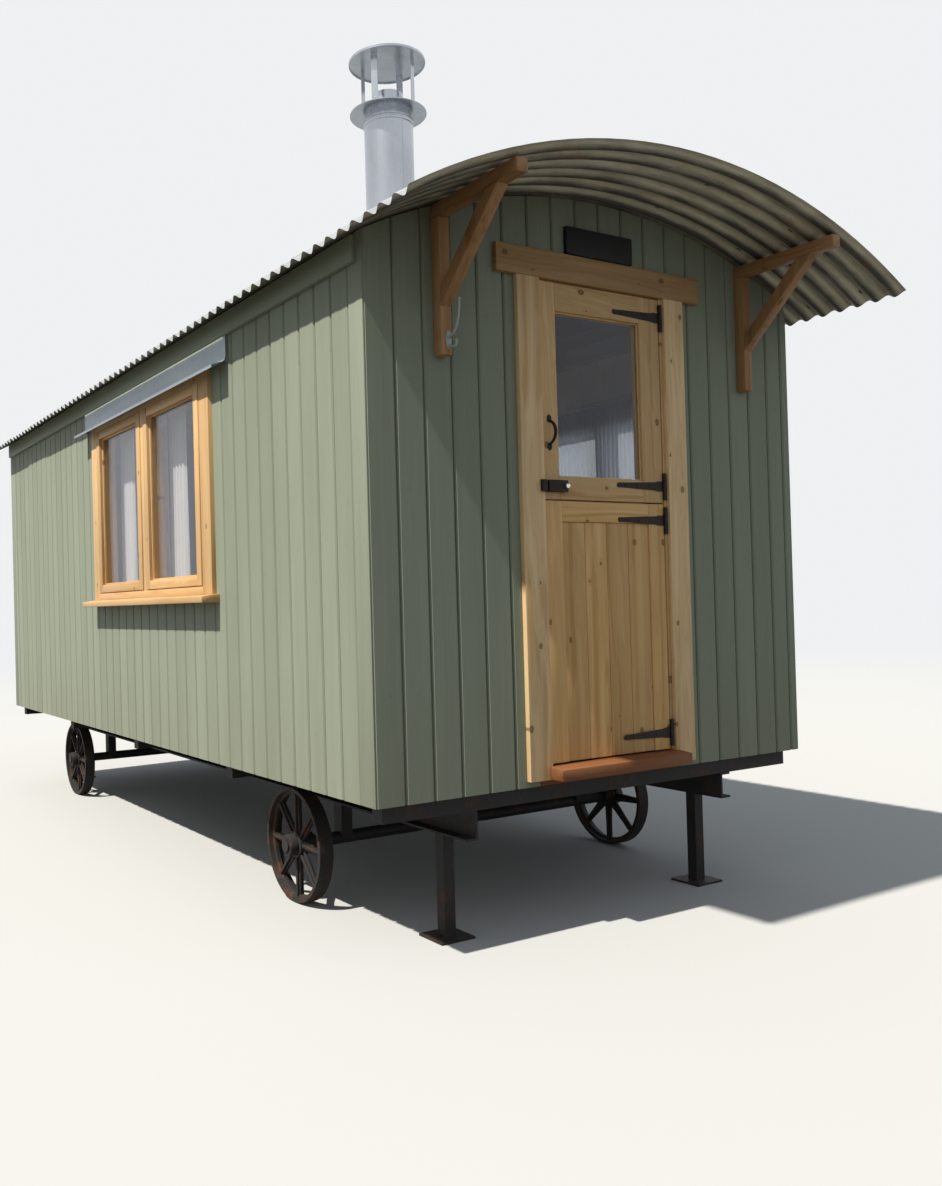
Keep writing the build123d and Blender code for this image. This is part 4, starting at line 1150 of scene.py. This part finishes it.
hoods = Work("window_rain_hoods", 85, HOOD, HOOD_ROLL_HIGHLIGHT, SAGE)
hood(hoods, -1, LEFT_Y0 - 0.172, LEFT_Y1 + 0.130)
hood(hoods, 1, RIGHT_Y0 - 0.090, RIGHT_Y1 + 0.090)
hoods.done("blue_grey_sheet", "window_hoods")

# Curtains
CURTAIN_FOOT = WINDOW_FOOT - 0.060
CURTAIN_WIDE = 0.200
LEFT_TRACK = LEFT_TOP + 0.022
RIGHT_TRACK = RIGHT_TOP + 0.050
TRACK_END = 0.060


def curtain(name, seed, material, side, y0, y1, top, folds, deep, *replaces):
    """Gathered cloth: folds that deepen on their way down, cut to the length along them."""
    work = Work(name, seed, material)
    dice = random.Random(seed)
    cols, rows = folds * 12, 30
    phases = [dice.uniform(-0.5, 0.5) for fold in range(folds + 1)]
    middle = side * (HALF - WALL - 0.0225)
    verts, faces = [], []
    for row in range(rows + 1):
        share = row / rows
        z = top - (top - CURTAIN_FOOT) * share
        for col in range(cols + 1):
            t = col / cols
            fold = t * folds
            wobble = phases[int(min(fold, folds - 1))] * (1 - abs(2 * (fold % 1) - 1))
            depth = deep * (0.55 + 0.45 * share) * math.sin(2 * math.pi * fold + wobble * share)
            y = y0 + (y1 - y0) * t + 0.004 * share * math.sin(9 * t + phases[0] * 6)
            verts.append((middle + depth, y, z + 0.003 * math.sin(fold * 5) * share))
    for row in range(rows):
        for a in range(row * (cols + 1), row * (cols + 1) + cols):
            faces.append([a, a + 1, a + cols + 2, a + cols + 1])
    work.add(verts, faces, "zy")
    obj = work.done("curtain_cloth", *replaces, smooth=180)


for index, (y0, y1) in enumerate(left_lights):
    for place, start, seed in (("near", y0, 90 + 2 * index), ("far", y1 - CURTAIN_WIDE, 91 + 2 * index)):
        name = f"left_curtain_{index}_{place}"
        curtain(name, seed, CLOTH, -1, start, start + CURTAIN_WIDE, LEFT_TRACK, 5, 0.012)
curtain("right_net_curtain", 97, NET, 1, RIGHT_Y0, RIGHT_Y1, RIGHT_TRACK, 58, 0.0062, "curtains")

tracks = Work("curtain_rails", 99, TRACK)
for side, y0, y1, z in (
    (-1, LEFT_Y0 - TRACK_END, LEFT_Y1, LEFT_TRACK), (1, RIGHT_Y0, RIGHT_Y1, RIGHT_TRACK),
):
    low, high = (side * (HALF - WALL), y0, z), (side * (HALF - WALL - 0.045), y1 + TRACK_END, z + 0.022)
    tracks.bar(low, high, "yx", 0.003)
tracks.done("white_track", "curtain_tracks")

# Flue
ROUND = 72
PIPE = 0.0875
BORE = 0.0625
LINER = 0.0512
BEADING = 0.003
neck = FLUE_TOP - 0.020
flue = Work("flue_pipe_steel", 101, STEEL)
profile = [(BORE, FLUE_FOOT), (PIPE, FLUE_FOOT)]
for low in (neck - 0.025, neck - 0.010):
    rounds = ((0.0, 0.0), (BEADING, 0.002), (BEADING, 0.008), (0.0, 0.010))
    profile += [(PIPE + proud, low + up) for proud, up in rounds]
profile += [(0.081, neck), (0.081, FLUE_TOP), (BORE, FLUE_TOP)]
flue.solid(moved(lathe_shape(profile, ROUND), FLUE_AXIS))
seam = (FLUE_X, FLUE_Y - PIPE - 0.0012, FLUE_FOOT + 0.20)
flue.bar(seam, (FLUE_X + 0.012, FLUE_Y - PIPE + 0.002, neck - 0.027), "zx", 0.0004, 1)
flue.done("stainless_flue", "flue_pipe")

STRAP_X = 0.099
STRAP_HALF = 0.0015
CAP = FLUE_TOP + 0.190
cowl = Work("flue_cowl", 102, STEEL)
plate = [
    (LINER, FLUE_TOP), (0.137, FLUE_TOP), (0.137, FLUE_TOP + 0.003), (0.100, FLUE_TOP + 0.010),
    (0.056, FLUE_TOP + 0.022), (0.054, FLUE_TOP + 0.072), (LINER, FLUE_TOP + 0.072),
]
hat = [
    (0.0, CAP - 0.004), (0.134, CAP - 0.004), (0.134, CAP - 0.008), (0.137, CAP - 0.008), (0.137, CAP),
    (0.120, CAP + 0.006), (0.060, CAP + 0.018), (0.0, CAP + 0.022),
]
for profile in (plate, hat):
    cowl.solid(moved(lathe_shape(profile, ROUND), FLUE_AXIS))
for step in range(4):
    turn = math.radians(30 + 90 * step)
    spin = Matrix.Translation(FLUE_AXIS) @ Matrix.Rotation(turn, 4, "Z")
    low = (STRAP_X - STRAP_HALF, -0.0125, FLUE_TOP + 0.0098)
    cowl.bar(low, (STRAP_X + STRAP_HALF, 0.0125, CAP - 0.004), "zx", 0.0008, 1, turn=spin)
    for z in (FLUE_TOP + 0.026, CAP - 0.022):
        at = spin @ Vector((STRAP_X + STRAP_HALF, 0, z))
        bolt_head(cowl, at, (math.cos(turn), math.sin(turn), 0), 0.0035, 0.002)
cowl.done("stainless_flue", "cowl_base", "cowl_cap", "cowl_straps")


def roof_top(x):
    return ROOF_Z + math.sqrt(CREST ** 2 - x ** 2)


collar = Work("flue_collar_sheet", 103, LEAD)
verts, faces = lathe_shape([(PIPE + 0.001, 0.0), (0.148, 0.0), (0.096, 1.0), (PIPE + 0.001, 1.0)], ROUND)
collar_top = roof_top(FLUE_X) + 0.042
shaped = []
for x, y, share in verts:
    shaped.append((x + FLUE_X, y + FLUE_Y, collar_top if share > 0.5 else roof_top(x + FLUE_X) + 0.0005))
collar.solid((shaped, faces))
collar.done("lead_grey", "flue_flashing")

# Undercarriage
WHEEL_R = 0.225
WHEEL_X = 0.830
SPOKES = 8
RIM_HALF = [(WHEEL_R, 0.028), (0.223, 0.030), (0.209, 0.030), (0.206, 0.012), (0.197, 0.007)]
WEB = [(0.048, -0.020), (0.048, 0.020), (0.202, 0.012), (0.202, -0.012)]
HUB_HALF = [(0.052, 0.018), (0.043, 0.022), (0.043, 0.048), (0.040, 0.055), (0.0253, 0.055)]


def spoked_wheel(work, x, y):
    """A cast iron wheel: dished rim, ribbed spokes and a turned hub with its cap."""
    middle = Matrix.Translation((x, y, WHEEL_R)) @ Matrix.Rotation(math.pi / 2, 4, "Y")
    for half, steps in ((RIM_HALF, 64), (HUB_HALF, 36)):
        profile = [(radius, -height) for radius, height in half[::-1]] + half
        work.solid(lathe_shape(profile, steps), turn=middle)
    for step in range(SPOKES):
        turn = middle @ Matrix.Rotation(2 * math.pi * step / SPOKES, 4, "Z")
        work.bar((0.046, -0.0065, -0.015), (0.203, 0.0065, 0.015), "xy", 0.002, 1, turn=turn)
        web = slab_shape(WEB, lambda u, v, depth: (u, v, depth), -0.006, 0.006)
        work.solid(web, "xy", 0.002, 1, turn=turn)


for name, y in (("front_wheels", FRONT + 0.900), ("rear_wheels", BACK - 0.850)):
    wheels = Work(name + "_cast", 111, WHEEL_IRON)
    for side in (-1, 1):
        spoked_wheel(wheels, side * WHEEL_X, y)
    wheels.done("wheel_iron", name)

for name in ("chassis_rails", "chassis_cross_members", "axles", "corner_steadies"):
    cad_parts[name].data.materials.clear()
    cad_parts[name].data.materials.append(CHASSIS)


# Stage, light and camera
def staged(name, data):
    """A new object that belongs to the stage and not to the hut."""
    obj = bpy.data.objects.new(name, data)
    bpy.context.scene.collection.objects.link(obj)
    return obj


def shown(start):
    """1 where the camera, a mirror or a pane looks at the studio, 0 where it only lights the hut."""
    rays = ("Is Camera Ray", "Is Glossy Ray", "Is Transmission Ray")
    camera, glossy, clear = (start.make("ShaderNodeLightPath", output=ray) for ray in rays)
    return camera.larger(glossy).larger(clear)


def studio_ground():
    """A pale floor that keeps the hut's shadow and gives way to the background far from the hut."""
    finish = Finish("studio_grey")
    away = (finish.place() * (1.0, 1.0, 0.0)).length()
    seen = shown(finish.start)
    far = ((away - 5.0) / 13.0).rise(0.0, 1.0) * seen
    finish.blend(far, seen.make("ShaderNodeBsdfTransparent"))
    base = finish.colour((0.075, 0.070, 0.062)).mix((0.50, 0.50, 0.49), seen)
    return finish.dress(Base_Color=base, Roughness=0.9, Specular_IOR_Level=0.0)


floor_mesh = bpy.data.meshes.new("studio_floor")
floor_mesh.from_pydata([(-40, -40, 0), (40, -40, 0), (40, 40, 0), (-40, 40, 0)], [], [[0, 1, 2, 3]])
floor_mesh.materials.append(studio_ground())
staged("studio_floor", floor_mesh)

sun_data = bpy.data.lights.new("key_sun", "SUN")
sun_data.energy = 5.6
sun_data.angle = math.radians(1.2)
sun_data.color = (1.0, 0.955, 0.88)
sun_from = Vector((-0.66, -0.045, 1.0))
staged("key_sun", sun_data).rotation_euler = sun_from.to_track_quat("Z", "Y").to_euler()

world = bpy.data.worlds.new("studio_sky")
bpy.context.scene.world = world
world.use_nodes = True
sky = Socket(world.node_tree)
seen = shown(sky)
tint = sky.colour((0.84, 0.92, 1.0)).mix((0.94, 0.95, 0.96), seen)
feed(sky.tree, sky.tree.nodes["Background"], {"Color": tint, "Strength": 0.50 + seen * 0.42})

# The camera as solved from the photo: its focal length and shift are in the photo's pixels
PHOTO_HEIGHT = 1186
FOCAL = 1054.8
SHIFT = 121
SENSOR = 24.0
scene = bpy.context.scene
scene.view_settings.view_transform = "Standard"
camera_data = bpy.data.cameras.new("photo_view")
camera_data.sensor_fit = "VERTICAL"
camera_data.sensor_height = SENSOR
camera_data.lens = SENSOR * FOCAL / PHOTO_HEIGHT
camera_data.shift_x = SHIFT / PHOTO_HEIGHT
camera_data.clip_start = 0.05
yaw, pitch, roll = math.radians(30.60), math.radians(0.594), math.radians(-1.5445)
ahead = Vector((math.sin(yaw) * math.cos(pitch), math.cos(yaw) * math.cos(pitch), math.sin(pitch)))
level = Vector((math.cos(yaw), -math.sin(yaw), 0))
upright = level.cross(ahead)
across = level * math.cos(roll) + upright * math.sin(roll)
above = upright * math.cos(roll) - level * math.sin(roll)
spin = Matrix((across, above, -ahead)).transposed().to_4x4()
scene.camera = staged("photo_view", camera_data)
scene.camera.matrix_world = Matrix.Translation((-2.758, FRONT - 2.808, BASE + 0.645)) @ spin
